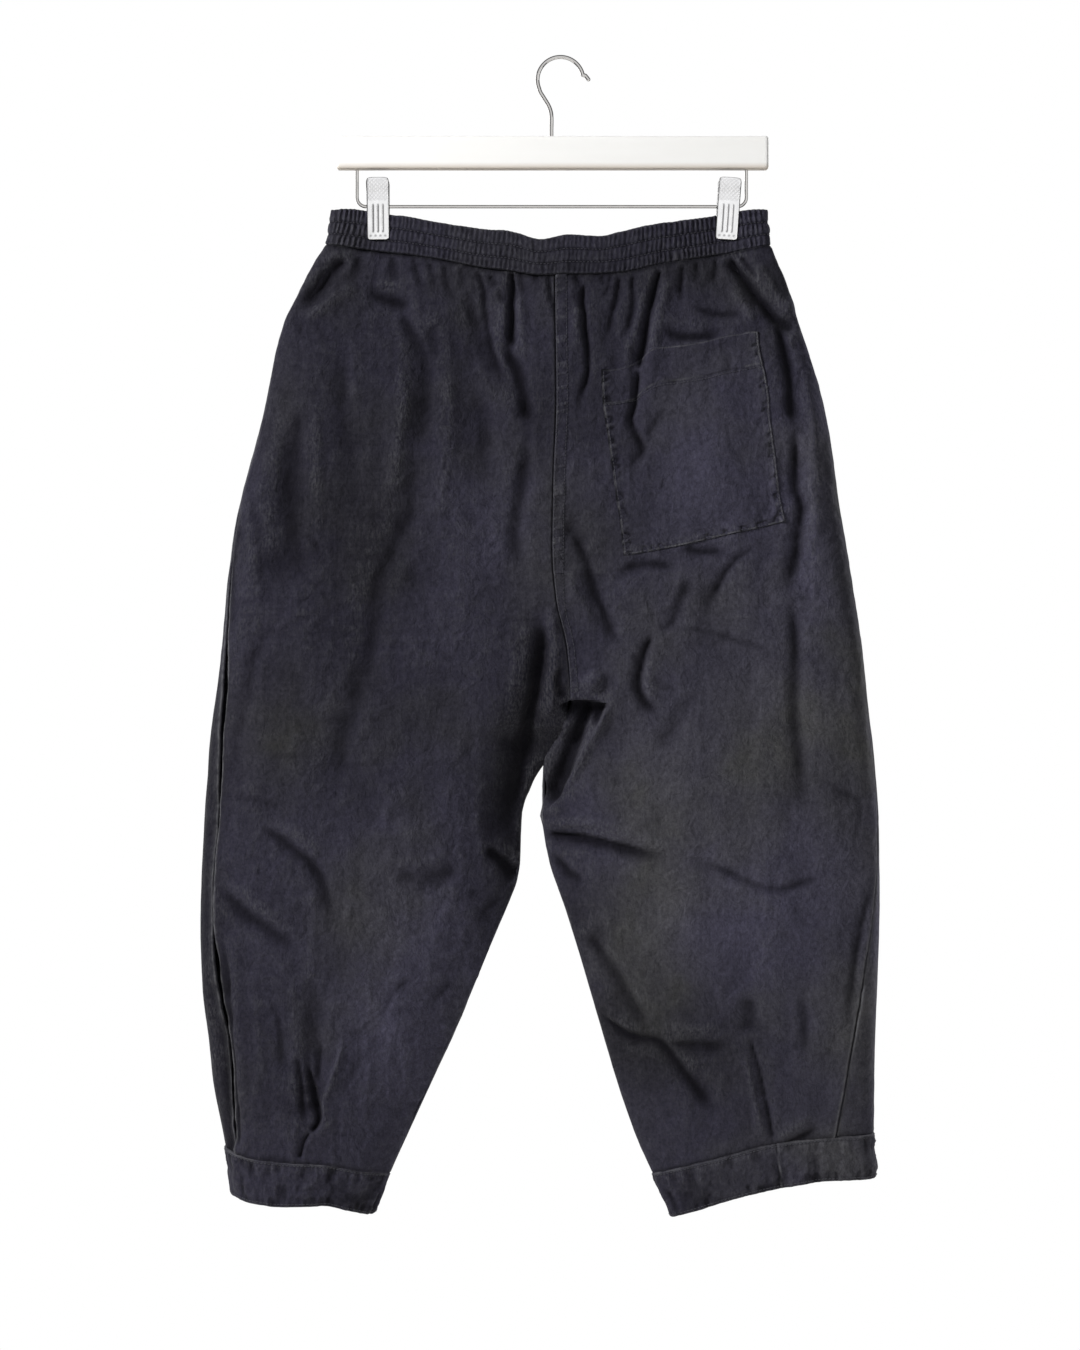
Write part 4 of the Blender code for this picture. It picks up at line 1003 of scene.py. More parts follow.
def cotton(name, strength=1.0, pale=0.0):
    """Washed charcoal cotton: plain weave, soft crinkle, faded patches with painted light and shade, painted shade in
    hollows, rubbed edges.
    """
    made, w = material(name)
    patches = w.noise(9.0, 3.0, 0.6)
    olive = w.grey(patches, 0.47, 0.60, 0.0, 0.35)
    ground = w.mix(w.sum(olive, w.mark("olive")), CLOTH_PURPLE, CLOTH_OLIVE)
    clouds = w.grey(w.noise(26.0, 4.0, 0.6), 0.35, 0.7, 0.0, 0.42)
    ground = w.mix(clouds, ground, CLOTH_DARK)
    # the tone mark: uneven fading with patches of painted light and shade
    ground = w.mix(1.0, ground, w.mark("tone"), "MULTIPLY")
    # yarn: threads a little lighter and darker, both ways of the weave
    warp = w.noise(420.0, 2.0, 0.6, w.stretched((1.0, 1.0, 0.06)))
    weft = w.noise(420.0, 2.0, 0.6, w.stretched((0.06, 1.0, 1.0)))
    slub = w.grey(w.sum(warp, weft), 0.78, 1.28, 0.0, 0.22)
    ground = w.mix(slub, ground, (0.040, 0.039, 0.047))
    mottle = w.grey(w.noise(280.0, 6.0, 0.8, w.stretched((1.1, 1.0, 0.9)), 0.4), 0.34, 0.66, 0.0, 1.0)
    ground = w.mix(w.sum(mottle, 0.56, "MULTIPLY"), w.mix(1.0, ground, (0.58, 0.58, 0.60), "MULTIPLY"), w.mix(1.0, ground, (1.75, 1.75, 1.72), "MULTIPLY"))
    # painted shade darkens fold troughs, hollows, seam grooves and stitch lines; ridges and seam edges are rubbed pale
    # in flecks
    ground = w.mix(w.sum(w.mark("painted_shade"), 0.86, "MULTIPLY"), ground, (0.0035, 0.0032, 0.005))
    flecks = w.grey(w.noise(620.0, 3.0, 0.7, w.stretched((1.0, 1.0, 0.35))), 0.42, 0.72)
    rubbed = w.sum(w.mark("rubbed"), w.sum(flecks, 0.42, "MULTIPLY"), "MULTIPLY")
    ground = w.mix(rubbed, ground, CLOTH_PALE)
    line = w.sum(w.mark("edge"), w.grey(w.noise(120.0, 2.0, 0.6), 0.3, 0.62, 0.25, 1.0), "MULTIPLY")
    ground = w.mix(w.sum(line, 0.95, "MULTIPLY"), ground, CLOTH_PALE)
    w.join(ground, w.shader.inputs["Base Color"])
    w.shader.inputs["Roughness"].default_value = 0.86
    w.shader.inputs["Specular IOR Level"].default_value = 0.12
    w.shader.inputs["Sheen Weight"].default_value = 0.03
    w.shader.inputs["Sheen Roughness"].default_value = 0.5
    # bump: weave, then fine crinkle, then soft dents
    weave = w.sum(w.wave(520.0, "X", 1.5), w.wave(520.0, "Z", 1.5), "MULTIPLY")
    crinkle = w.noise(150.0, 4.0, 0.62, w.stretched((1.2, 1.0, 0.8)), 0.6)
    dents = w.noise(52.0, 3.0, 0.55, None, 1.2)
    creases = w.add("ShaderNodeTexNoise", noise_type="RIDGED_MULTIFRACTAL", normalize=True)
    creases.inputs["Scale"].default_value = 34.0
    creases.inputs["Detail"].default_value = 3.0
    creases.inputs["Roughness"].default_value = 0.5
    creases.inputs["Distortion"].default_value = 0.7
    w.join(w.stretched((1.25, 1.0, 0.75), (0, 0.35, 0)), creases.inputs["Vector"])
    normal = w.bump(weave, 0.00014, 0.5)
    normal = w.bump(crinkle, 0.0015 * strength, 0.85, normal)
    normal = w.bump(creases.outputs["Fac"], 0.0022 * strength, 0.6, normal)
    normal = w.bump(dents, 0.0030 * strength, 0.7, normal)
    w.join(normal, w.shader.inputs["Normal"])
    return made


def thread(name):
    made, w = material(name)
    colour = w.mix(w.noise(900.0, 2.0), (0.030, 0.029, 0.038), (0.075, 0.075, 0.088))
    w.join(colour, w.shader.inputs["Base Color"])
    w.shader.inputs["Roughness"].default_value = 0.6
    twist = w.wave(1400.0, "DIAGONAL", 0.5)
    w.join(w.bump(twist, 0.0001, 0.5), w.shader.inputs["Normal"])
    return made


def painted_wood(name):
    made, w = material(name)
    grain = w.noise(60.0, 4.0, 0.6, w.stretched((0.10, 1.0, 1.0)), 0.8)
    colour = w.mix(w.grey(grain, 0.3, 0.75, 0.0, 0.35), (0.93, 0.925, 0.905), (0.89, 0.875, 0.845))
    # painted shade: the paint is tinted beige a little along the under edge, where the bar's underside is shaded
    height = w.add("ShaderNodeSeparateXYZ")
    w.join(w.place, height.inputs[0])
    low = w.grey(height.outputs["Z"], (BAR_TOP - BAR_HEIGHT + 5.5) * MM, (BAR_TOP - BAR_HEIGHT) * MM)
    colour = w.mix(w.sum(low, 0.8, "MULTIPLY"), colour, (0.55, 0.46, 0.36))
    w.join(colour, w.shader.inputs["Base Color"])
    w.join(w.grey(grain, 0.3, 0.7, 0.34, 0.5), w.shader.inputs["Roughness"])
    w.join(w.bump(grain, 0.0003, 0.4), w.shader.inputs["Normal"])
    return made


def bright_metal(name, rough=0.16, tone=(0.80, 0.80, 0.81), pressed=False):
    made, w = material(name)
    smudge = w.noise(140.0, 3.0, 0.6)
    colour = w.mix(w.grey(smudge, 0.35, 0.7, 0.0, 0.4), tone, tuple(c * 0.86 for c in tone))
    # pressed plates: painted shade on the ribs, dots, grip hatch and turned rim
    if pressed:
        colour = w.mix(w.sum(w.mark("groove"), 0.85, "MULTIPLY"), colour, (0.16, 0.155, 0.16))
    w.join(colour, w.shader.inputs["Base Color"])
    w.shader.inputs["Metallic"].default_value = 1.0
    w.join(w.grey(smudge, 0.3, 0.7, rough, rough + (0.12 if pressed else 0.05)), w.shader.inputs["Roughness"])
    scratches = w.noise(900.0, 2.0, 0.6, w.stretched((1.0, 1.0, 0.05)))
    w.join(w.bump(scratches, 0.00004, 0.4), w.shader.inputs["Normal"])
    return made


cloth = cotton("charcoal_cotton")
band_cloth = cotton("charcoal_cotton_band", 0.7)
pocket_cloth = cotton("charcoal_cotton_pocket", 0.9)
sewing = thread("charcoal_thread")
paint = painted_wood("white_painted_wood")
steel = bright_metal("bright_steel", 0.07, (0.60, 0.585, 0.565))
clip_steel = bright_metal("clip_steel", 0.22, (0.93, 0.925, 0.92), True)


# ===================================================================== leg panels
GRID = {
    "back": {"columns": 122, "rows": 374, "edge": (0.0, 0.45, 0.95, 1.6, 2.5, 3.8)},
    "front": {"columns": 80, "rows": 220, "edge": (0.0, 0.6, 1.4, 2.6)},
}
TUCK_UNDER_BAND = 1.6


def row_shares(count):
    """How far down each row lies, closer under the waistband and at the cuff."""
    s = np.linspace(0, 1, count)
    return s - 0.010 * np.sin(2 * math.pi * s)


def panel_surface(side):
    first = lambda x: BAND.at("seam", x) + TUCK_UNDER_BAND
    last = lambda x: HEM[side].at("cuff", x) - 12.0
    return leg_surface(side, first, last, CENTRE_SEAM[-1][0])


def seam_column_lengths(side, surface, v, face):
    """Where a panel starts and ends round each row, and the row's dense points."""
    dense = np.linspace(-1, 1, 561)
    t, vv = np.meshgrid(dense, v)
    points = surface(t, vv)
    length = row_length(points)
    mid = np.array([np.interp(0.0, dense, row) for row in length])
    z_side = np.array([row[280, 2] for row in points])
    seam = mid + SIDE[side].at("seam_in", z_side)
    if face == "back":
        return dense, length, seam, length[:, -1]
    return dense, length, np.zeros(len(v)), seam


def leg_grid(side, face):
    size = GRID[face]
    surface = panel_surface(side)
    v = row_shares(size["rows"])
    dense, length, start, stop = seam_column_lengths(side, surface, v, face)
    edge = np.array(size["edge"])
    inner = size["columns"] - 2 * len(edge)
    t = np.zeros((len(v), size["columns"]))
    from_edge = np.zeros_like(t)
    for i in range(len(v)):
        a, b = start[i], stop[i]
        step = (b - a - 2 * edge[-1]) / (inner + 1)
        s = np.concatenate(
            [a + edge, a + edge[-1] + step * np.arange(1, inner + 1), (b - edge)[::-1]]
        )
        t[i] = np.interp(s, length[i], dense)
        from_edge[i] = np.minimum(s - a, b - s)
    base = surface(t, np.repeat(v[:, None], size["columns"], 1))
    # distance of each point from the side seam and from the centre seam or inseam
    sides = np.zeros_like(t)
    others = np.zeros_like(t)
    for i in range(len(v)):
        s = np.interp(t[i], dense, length[i])
        if face == "back":
            sides[i], others[i] = s - start[i], stop[i] - s
        else:
            sides[i], others[i] = stop[i] - s, s - start[i]
    return base, from_edge, sides, others


def finish_panel(name, side, face, node):
    base, from_edge, sides, others = leg_grid(side, face)
    out = grid_normals(base)
    sign = -1 if face == "back" else 1
    turned = out[base.shape[0] // 3, base.shape[1] // 2, 1] * sign < 0
    if turned:
        out = -out
    relief, shift, dark = (back_relief if face == "back" else front_relief)(
        base[..., 0], base[..., 2]
    )
    top = BAND.at("seam", base[..., 0]) - base[..., 2]
    low = base[..., 2] - HEM[side].at("cuff", base[..., 0])
    facing = np.clip(np.abs(out[..., 1]) * 1.25, 0, 1)
    # how deep each point lies among its neighbours: hollows get painted shade, ridges are rubbed pale
    smooth = blur(relief, 5, 4)
    wide = blur(relief, 14, 11)
    painted_shade = dark + 0.22 * np.clip((smooth - relief) / 2.0, 0, 1)
    painted_shade += 0.25 * np.clip((wide - relief) / 5.0, 0, 1)
    ridge = np.clip((relief - smooth) / 1.6, 0, 1)
    # seams: edges turned in, with the cloth beside them a little proud
    groove = np.exp(-((from_edge / 0.75) ** 2))
    parting = np.exp(-(((base[..., 2] + 580) / 36) ** 2)) * (others < sides)
    sunk = groove * (1 - parting)
    proud = 0.35 * ease(from_edge / 1.2) * (1 - ease((from_edge - 6) / 4))
    under = ease((1.6 - top) / 3.2)
    under_cuff = ease((1.8 - low) / 3.0)
    gathered = 1 - 0.75 * ease((3 - low) / 9)
    height = relief * facing * gathered + proud * (1 - under) - 1.3 * sunk - 2.8 * under - 0.7 * under_cuff - 2.6 * ease(-low / 3.5)
    points = base + out * height[..., None]
    points[..., 0] += shift[0] * facing
    points[..., 2] -= shift[1] * facing
    # where the legs part their edges lap a little, one on the other
    points[..., 0] += (1.1 if side == "left" else -1.1) * parting * np.exp(-((from_edge / 4) ** 2))
    edge = np.exp(-(((from_edge - 1.7) / 0.7) ** 2))
    if face == "back":
        edge *= np.where(others < sides, 0.15 * (base[..., 2] > -565), 0.95)
        if side == "right":
            edge = np.where(others < sides, 0.25 * edge, edge)
    dark = np.clip(painted_shade, 0, 1)
    # the inner thighs go back under, out of the light
    px, py = base[..., 0] / UNIT + ORIGIN_X, -base[..., 2] / UNIT + ORIGIN_Y
    if side == "left" and face == "back":
        inner = INNER["left"].at("inner", base[..., 2])
        away = np.abs(inner - base[..., 0])
        thigh = ease((py - 610) / 70) * (1 - ease((py - 860) / 90))
        dark = np.clip(dark + 0.55 * thigh * (1 - ease(away / 62)) ** 1.2, 0, 1)
    seam_shade = np.where((others < sides) & (base[..., 2] > -565), 0.22, 0.5 if side == "right" else 0.3)
    # painted shade on the left front's strip beside the side seam, low down
    if side == "left" and face == "front":
        low_down = ease((py - 850) / 120)
        dark = np.clip(dark + 0.4 * low_down * np.exp(-(((sides - 6) / 8) ** 2)), 0, 1)
    # painted shade: fold troughs, hollows and seam grooves, a line under the waistband and a line above the cuff
    marks = {
        "painted_shade": np.clip(dark + seam_shade * groove + 1.1 * np.exp(-(((top - 0.7) / 1.9) ** 2)) + 0.6 * np.exp(-(((low - 1.2) / 2.0) ** 2)), 0, 1),
        "rubbed": np.clip(0.9 * ridge + 0.35 * np.exp(-((from_edge / 5) ** 2)), 0, 1),
        "edge": edge,
    }
    piece = cloth_sheet(name, points, cloth, 0.55, marks=marks, turned=turned)
    return shown(piece, "cloth", node), points


panels = {}
for side in ("left", "right"):
    for face in ("back", "front"):
        node = f"{face}_{side}"
        panels[node] = finish_panel(f"{face}_{side}_leg", side, face, node)


# ===================================================================== waistband
BAND_STITCHING = (0.36, 0.69)  # rows of stitching, as shares of its height
BAND_GATHER = 4.3  # mm from one gather to the next


def waistband():
    columns, rows = 1080, 35
    t = np.linspace(-1, 1, columns, endpoint=False)
    v = np.concatenate([np.linspace(0, 0.08, 6)[:-1], np.linspace(0.08, 0.93, 25)[:-1], np.linspace(0.93, 1, 6)])
    tt, vv = np.meshgrid(t, v)
    base = band_surface(tt, vv)
    length = row_length(np.concatenate([base, base[:, :1]], 1))[rows // 2]
    round_way = length[:-1][None, :] + 0 * vv
    out = grid_normals(base, ring=True)
    turned = out[len(v) // 2, columns * 3 // 4, 1] > 0
    if turned:
        out = -out
    x = base[..., 0]
    back = base[..., 1] < 0
    # gathers: uneven upright ripples, different in each stitched channel
    channel = np.digitize(vv, BAND_STITCHING)
    strong = 0.45 + 0.55 * ease((noise(round_way, 0 * x, 60, 3) + 0.75) / 1.1)
    strong = strong * (1 - 0.6 * np.exp(-(((x + 160.5) / 16) ** 2)) - 0.6 * np.exp(-(((x - 147.5) / 16) ** 2)))
    ripple = np.zeros_like(x)
    for k in range(3):
        wander = 2.4 * noise(round_way, 0 * x + 31 * k, 15, 50 + k)
        lean = 3.5 * (vv - 0.5) * noise(round_way, 0 * x, 27, 60 + k)
        s = (round_way + wander + lean) / BAND_GATHER
        one = np.abs(((s + 0.37 * k) % 1) - 0.5) * 2
        one = one ** 1.3 + 0.25 * noise(round_way * 2.3, vv * 30, 3.1, 70 + k)
        ripple = np.where(channel == k, one, ripple)
    to_stitch = np.min([np.abs(vv - row) for row in BAND_STITCHING], axis=0)
    to_edge = np.minimum(vv, 1 - vv)
    height_mm = 34.0
    soft = ease(to_stitch * height_mm / 2.6)
    ripple = ripple * (0.35 + 0.65 * soft) * ease(to_edge * height_mm / 2.0 + 0.35)
    puff = 0.4 * ease(to_stitch * height_mm / 4.0)
    dip = -0.4 * np.exp(-((to_stitch * height_mm / 0.8) ** 2))
    top_roll = -1.5 * (1 - ease(vv * height_mm / 1.5)) - 1.3 * (1 - ease((1 - vv) * height_mm / 1.3))
    lumps = 0.8 * noise(round_way, vv * 20, 19, 80) + 0.4 * noise(round_way, vv * 34, 8, 81)
    ends = np.minimum(x - BAND_SIDES["seam"][0], BAND_SIDES["seam"][1] - x)
    height = (0.5 + 1.35 * ease(ends / 22)) * strong * ripple + puff + dip + top_roll + lumps * ease(to_edge * 12)
    points = base + out * height[..., None]
    # the top edge frills a little between the gathers
    frill = 0.9 * strong * (ripple - 0.4) * (1 - ease(vv / 0.12)) + 0.5 * noise(round_way, 0 * x, 9, 82) * (1 - vv)
    points[..., 2] += frill
    points[..., 0] += 0.35 * noise(round_way, vv * 30, 5, 83)
    small = blur(height, 2, 2)
    # painted shade between the gathers, along the stitch lines and along the lower edge
    painted_shade = np.clip((small - height) / 0.36, 0, 1) * 0.55 + 0.45 * np.exp(-((to_stitch * height_mm / 0.6) ** 2))
    painted_shade = np.maximum(painted_shade, 0.9 * np.exp(-(((1 - vv) * height_mm / 1.0) ** 2)))
    marks = {
        "painted_shade": np.clip(painted_shade, 0, 1),
        "rubbed": np.clip((height - small) / 0.28, 0, 1) * (0.25 + 0.75 * strong),
        "edge": 0.2 * np.exp(-((vv * height_mm / 1.5) ** 2)),
    }
    piece = cloth_sheet("gathered_waistband", points, band_cloth, 1.5, ring=True, marks=marks, turned=turned)
    return shown(piece, "band_cloth", "waistband"), points, v, out


band, band_points, band_rows, band_out = waistband()


# ===================================================================== cuffs
def cuff(side):
    columns, rows = 260, 30
    first = lambda x: HEM[side].at("cuff", x) + 0.6
    last = lambda x: HEM[side].at("hem", x)
    surface = leg_surface(side, first, last)
    v = np.linspace(0, 1, rows)
    dense = np.linspace(-1, 1, 801)
    tt, vv = np.meshgrid(dense, v)
    length = row_length(surface(tt, vv))
    t = np.zeros((rows, columns))
    for i in range(rows):
        s = np.arange(columns) / columns * length[i, -1]
        t[i] = np.interp(s, length[i], dense)
    vg = np.repeat(v[:, None], columns, 1)
    base = surface(t, vg)
    out = grid_normals(base, ring=True)
    turned = out[rows // 2, columns * 3 // 4, 1] > 0
    if turned:
        out = -out
    x, z = base[..., 0], base[..., 2]
    tall = 37.0
    down = vg * tall
    round_way = t * 170
    px, py = x / UNIT + ORIGIN_X, -z / UNIT + ORIGIN_Y
    seed = 300 if side == "left" else 340
    # the seam's topstitching gathers short upright puckers, the rest is softly crumpled
    pucker = noise(round_way, 0 * x, 4.2, seed) * np.exp(-((down - 3.2) / 7.0) ** 2)
    pucker += 0.7 * noise(round_way, 0 * x, 5.6, seed + 1) * np.exp(-((down - tall + 3.0) / 4.5) ** 2)
    upright = noise(round_way, down * 0.3, 6.0, seed + 7)
    relief = 1.5 * pucker + 1.1 * upright + 0.9 * noise(px * 1.3, py * 0.8, 15, seed + 2) + 0.95 * crumple(px * 1.3, py * 0.9, 9, seed + 3)
    wave = 1.6 * noise(round_way, 0 * x, 30, seed + 4) * ease(down / tall)
    step = 1.5 * ease(down / 1.3) - 0.6
    stitch = -0.4 * np.exp(-(((down - 2.6) / 0.5) ** 2)) - 0.4 * np.exp(-(((down - tall + 3.2) / 0.5) ** 2))
    roll = -1.2 * (1 - ease((tall - down) / 1.4))
    height = relief * ease(down / 7 + 0.08) + wave + step + stitch + roll
    seam_at = None
    if side == "right":
        # the cuff's own seam
        line = np.array([(774.0, 1140.0), (776.0, 1158.0), (778.5, 1181.0)])
        off = (px - np.interp(py, line[:, 1], line[:, 0])) * UNIT
        seam_at = np.where(base[..., 1] < 0, off, 99.0)
        height += -0.9 * np.exp(-((seam_at / 0.7) ** 2)) + 0.35 * np.exp(-(((seam_at - 2.4) / 1.6) ** 2))
    points = base + out * height[..., None]
    smooth = blur(height, 2, 3)
    broken = 0.4 + 0.6 * ease((noise(round_way, 0 * x, 9, seed + 8) + 0.35) / 0.3)
    edge = 0.95 * broken * np.exp(-(((down - 0.7) / 0.75) ** 2)) + 0.25 * np.exp(-(((tall - down) / 1.0) ** 2))
    # painted shade in the cuff's hollows, along its stitch lines, in its puckers and hem creases and, on the right,
    # along its seam
    painted_shade = 0.5 * np.clip((smooth - height) / 1.5, 0, 1) + 0.3 * np.exp(-(((down - 2.6) / 0.6) ** 2))
    hem_creases = noise(round_way, 0 * x, 2.8, seed + 9) * np.exp(-((down - tall + 3.5) / 5.0) ** 2)
    creases = 0.3 * ease((-pucker - 0.2) / 0.4) + 0.4 * ease((-upright - 0.2) / 0.35)
    creases += 0.7 * ease((-hem_creases - 0.12) / 0.25)
    painted_shade = painted_shade + creases
    if seam_at is not None:
        painted_shade = painted_shade + 0.8 * np.exp(-((seam_at / 0.8) ** 2))
        edge = edge + 0.5 * np.exp(-(((seam_at - 1.3) / 0.6) ** 2))
    marks = {
        "painted_shade": np.clip(painted_shade, 0, 1),
        "rubbed": np.clip((height - smooth) / 0.9, 0, 1) * 0.8 + 0.5 * np.exp(-((down - 3) / 4) ** 2),
        "edge": np.clip(edge, 0, 1),
    }
    piece = cloth_sheet(f"{side}_leg_cuff", points, cloth, 1.3, ring=True, marks=marks, turned=turned)
    return shown(piece, "cloth", f"cuff_{side}"), points, out


cuffs = {side: cuff(side) for side in ("left", "right")}


# ===================================================================== pieces on the back
def on_back(px, py):
    """Points of the back's cloth, with its folds, at places on the photograph, the
    direction out of it and how dark its troughs are."""
    px, py = np.asarray(px, float), np.asarray(py, float)
    x, z = spot(px, py)

    def bare(x, z):
        y = np.zeros_like(x)
        for name in ("left", "right"):
            edge = SIDE[name].at("side", z)
            inner = INNER[name].at("inner", z)
            end = math.pi / 2 * (1 + DEPTH[name].at("closed", z))
            share = np.clip((x - edge) / (inner - edge), 0, 1)
            phi = np.arccos(np.clip(1 - share * (1 - np.cos(end)), -1, 1))
            mine = section(name, z, np.maximum(phi / end, 1e-4))[1]
            here = (x < inner) if name == "left" else (x >= inner)
            y = np.where(here, mine, y)
        return y

    y = bare(x, z)
    d = 0.8
    nx = (bare(x + d, z) - bare(x - d, z)) / (2 * d)
    nz = (bare(x, z + d) - bare(x, z - d)) / (2 * d)
    out = unit(np.stack([nx, -np.ones_like(nx), nz], -1))
    relief, shift, dark = back_relief(x, z)
    points = np.stack([x, y, z], -1) + out * relief[..., None]
    points[..., 0] += shift[0]
    points[..., 2] -= shift[1]
    return points, out, dark


def pocket():
    columns, rows = 112, 168
    outline = pocket_outline_grid(close_at_ends(columns), close_at_ends(rows))
    px, py = outline[..., 0], outline[..., 1]
    points, out, dark = on_back(px, py)
    along = row_length(points)
    down = row_length(points.transpose(1, 0, 2)).T
    left, right = along, along[:, -1:] - along
    top, low = down, down[-1:, :] - down
    rim = np.minimum(np.minimum(left, right), np.minimum(top, low))
    hem = POCKET_HEM * UNIT
    # puckers run in from the stitched sides and bottom
    by_side = np.minimum(left, right)
    strength = np.exp(-((by_side - 3.0) / 4.6) ** 2) * np.where(left < right, 1.15, 0.8)
    slant = down + 0.35 * np.where(left < right, left, -right)
    pucker = strength * noise(slant, 0 * px + np.where(left < right, 0.0, 90.0), 3.1, 501)
    pucker += np.exp(-((low - 2.5) / 3.4) ** 2) * noise(along + 0.3 * low, 0 * px + 55, 3.6, 502)
    pucker += 0.6 * np.exp(-((top - hem) / 3.0) ** 2) * noise(along, 0 * px + 15, 4.0, 503)
    crease = ease((-pucker - 0.10) / 0.28)
    height = 0.85 + (1.1 * pucker - 0.35 * crease) * ease(rim / 1.2)
    height += 0.35 * (top < hem) - 0.35 * np.exp(-(((top - hem) / 0.7) ** 2))
    height += -0.3 * np.exp(-(((rim - 1.9) / 0.5) ** 2))
    height += -0.9 * (1 - ease(rim / 0.6))
    # faint upright dents in the hem, from the seam turned in behind
    for mark in (667.0, 715.0):
        height += -0.5 * np.exp(-(((px - mark) / 2.2) ** 2)) * np.exp(-((top - hem * 0.75) / 6) ** 2)
    height += 0.18 * crumple(px, py, 7, 505)
    points = points + out * height[..., None]
    # painted shade in the troughs, along the hem's fold, in the puckers' creases and as a dark line just inside the
    # left and bottom rim
    painted_shade = dark + 0.5 * np.exp(-(((top - hem) / 0.6) ** 2))
    painted_shade += 0.85 * crease
    outside = np.minimum(left, low)
    painted_shade += 1.0 * np.exp(-(((outside - 0.55) / 0.5) ** 2))
    edge = 0.9 * np.exp(-((rim - 1.45) / 0.5) ** 2) * (0.55 + 0.45 * (noise(px, py, 16, 506) > -0.25))
    edge *= np.where((top < 3) & (px < 745), 0.65, 1.0)
    edge = np.maximum(edge, 0.55 * np.exp(-(((top - hem + 1.0) / 0.5) ** 2)) * (noise(along, 0 * px, 22, 507) > -0.35))
    marks = {
        "painted_shade": np.clip(painted_shade, 0, 1),
        "rubbed": np.clip(1.3 * np.clip(pucker, 0, 1) + 0.6 * np.exp(-((np.minimum(right, low) - 3) / 5) ** 2) + 0.1, 0, 1),
        "edge": edge,
    }
    turned = grid_normals(points)[rows // 2, columns // 2, 1] > 0
    piece = cloth_sheet("back_patch_pocket", points, pocket_cloth, 0.75, marks=marks, turned=turned)
    return shown(piece, "cloth", "pocket_back_right"), points


pocket_piece, pocket_points = pocket()


def centre_seam_px(py):
    z = -(py - ORIGIN_Y) * UNIT
    return INNER["right"].at("inner", z) / UNIT + ORIGIN_X


def centre_strip():
    """The cloth turned to the right of the centre seam, raised between its stitching."""
    rows, columns = 520, 20
    py = np.linspace(276, 697, rows)[:, None] + np.zeros((1, columns))
    across = np.linspace(0, 1, columns)[None, :] + 0 * py
    start = centre_seam_px(py)
    width = CENTRE_TOPSTITCH - 4.5 * ease((py - 540) / 80)
    px = start + 0.35 + across * width
    points, out, _ = on_back(px, py)
    s = py * UNIT
    pucker = noise(s + 2.0 * across, 0 * s, 3.0, 601) + 0.5 * noise(s, 0 * s + 20, 7.5, 602)
    strong = 0.35 + 0.65 * ease((noise(s, 0 * s + 5, 30, 603) + 0.5) / 0.8)
    strong *= 1 - 0.55 * ease((py - 520) / 60)
    middle = ease(across / 0.22) * ease((1 - across) / 0.16)
    crease = ease((-pucker * strong - 0.03) / 0.12) * ease(across / 0.16) * ease((1 - across) / 0.12)
    height = -0.15 + 0.55 * middle + 0.7 * pucker * strong * middle - 0.3 * crease
    points = points + out * height[..., None]
    # painted shade in the puckers' creases and along the strip's right edge
    marks = {
        "painted_shade": crease + 0.5 * np.exp(-((across - 1) / 0.07) ** 2) * (pucker < 0.2),
        "rubbed": np.clip(2.4 * pucker * strong * middle, 0, 1),
        "edge": 0.75 * np.exp(-(((across - 0.10) / 0.07) ** 2)) * (0.6 + 0.4 * (noise(s, 0 * s + 40, 20, 604) > -0.3)),
    }
    turned = grid_normals(points)[rows // 2, columns // 2, 1] > 0
    piece = cloth_sheet("centre_back_seam_strip", points, cloth, 0.3, marks=marks, turned=turned)
    return shown(piece, "cloth")


centre_strip_piece = centre_strip()


# ===================================================================== stitching
def stitches(name, rows_of, size=(2.5, 0.42), gap=0.75):
    """Short threads laid end to end on lines of (points, directions out)."""
    points, faces = [], []
    ring = [(-0.5, 0.0), (-0.36, 0.75), (0.36, 0.75), (0.5, 0.0)]
    for line, out in rows_of:
        length = row_length(line[None])[0]
        count = int(length[-1] / (size[0] + gap))
        for k in range(count):
            a = (k + 0.12) * (size[0] + gap)
            where = np.array([0.0, 0.22, 0.78, 1.0]) * size[0] + a
            c = np.stack([np.interp(where, length, line[:, i]) for i in range(3)], -1)
            n = unit(np.stack([np.interp(where, length, out[:, i]) for i in range(3)], -1))
            way = unit((c[-1] - c[0])[None])[0]
            side = unit(np.cross(way[None], n))
            lift = np.array([-0.25, 0.32, 0.32, -0.25])[:, None]
            fat = np.array([0.6, 1.0, 1.0, 0.6])[:, None] * size[1]
            start = len(points)
            for u, h in ring:
                points += list(c + n * lift * 0.6 + side * fat * u + n * fat * h)
            for r in range(3):
                for q in range(3):
                    i = start + r * 4 + q
                    faces.append((i, i + 1, i + 5, i + 4))
    piece = mesh_object(name, points, faces, sewing)
    return shown(piece, "cloth")


def line_on_grid(points, out, row=None, column=None):
    return (points[row], out[row]) if row is not None else (points[:, column], out[:, column])


def band_stitching():
    rows = []
    for share in BAND_STITCHING:
        k = np.searchsorted(band_rows, share)
        f = (share - band_rows[k - 1]) / (band_rows[k] - band_rows[k - 1])
        line = band_points[k - 1] * (1 - f) + band_points[k] * f
        line = np.concatenate([line, line[:1]])
        out = np.concatenate([band_out[k], band_out[k][:1]])
        rows.append((line + 0.15 * out, out))
    return stitches("waistband_stitching", rows, (2.3, 0.40), 0.9)


def cuff_stitching():
    rows = []
    for side in ("left", "right"):
        points, out = cuffs[side][1:]
        for k in (2, 27):
            line = np.concatenate([points[k], points[k][:1]])
            n = np.concatenate([out[k], out[k][:1]])
            rows.append((line + 0.1 * n, n))
    return stitches("cuff_stitching", rows, (2.4, 0.40), 0.8)


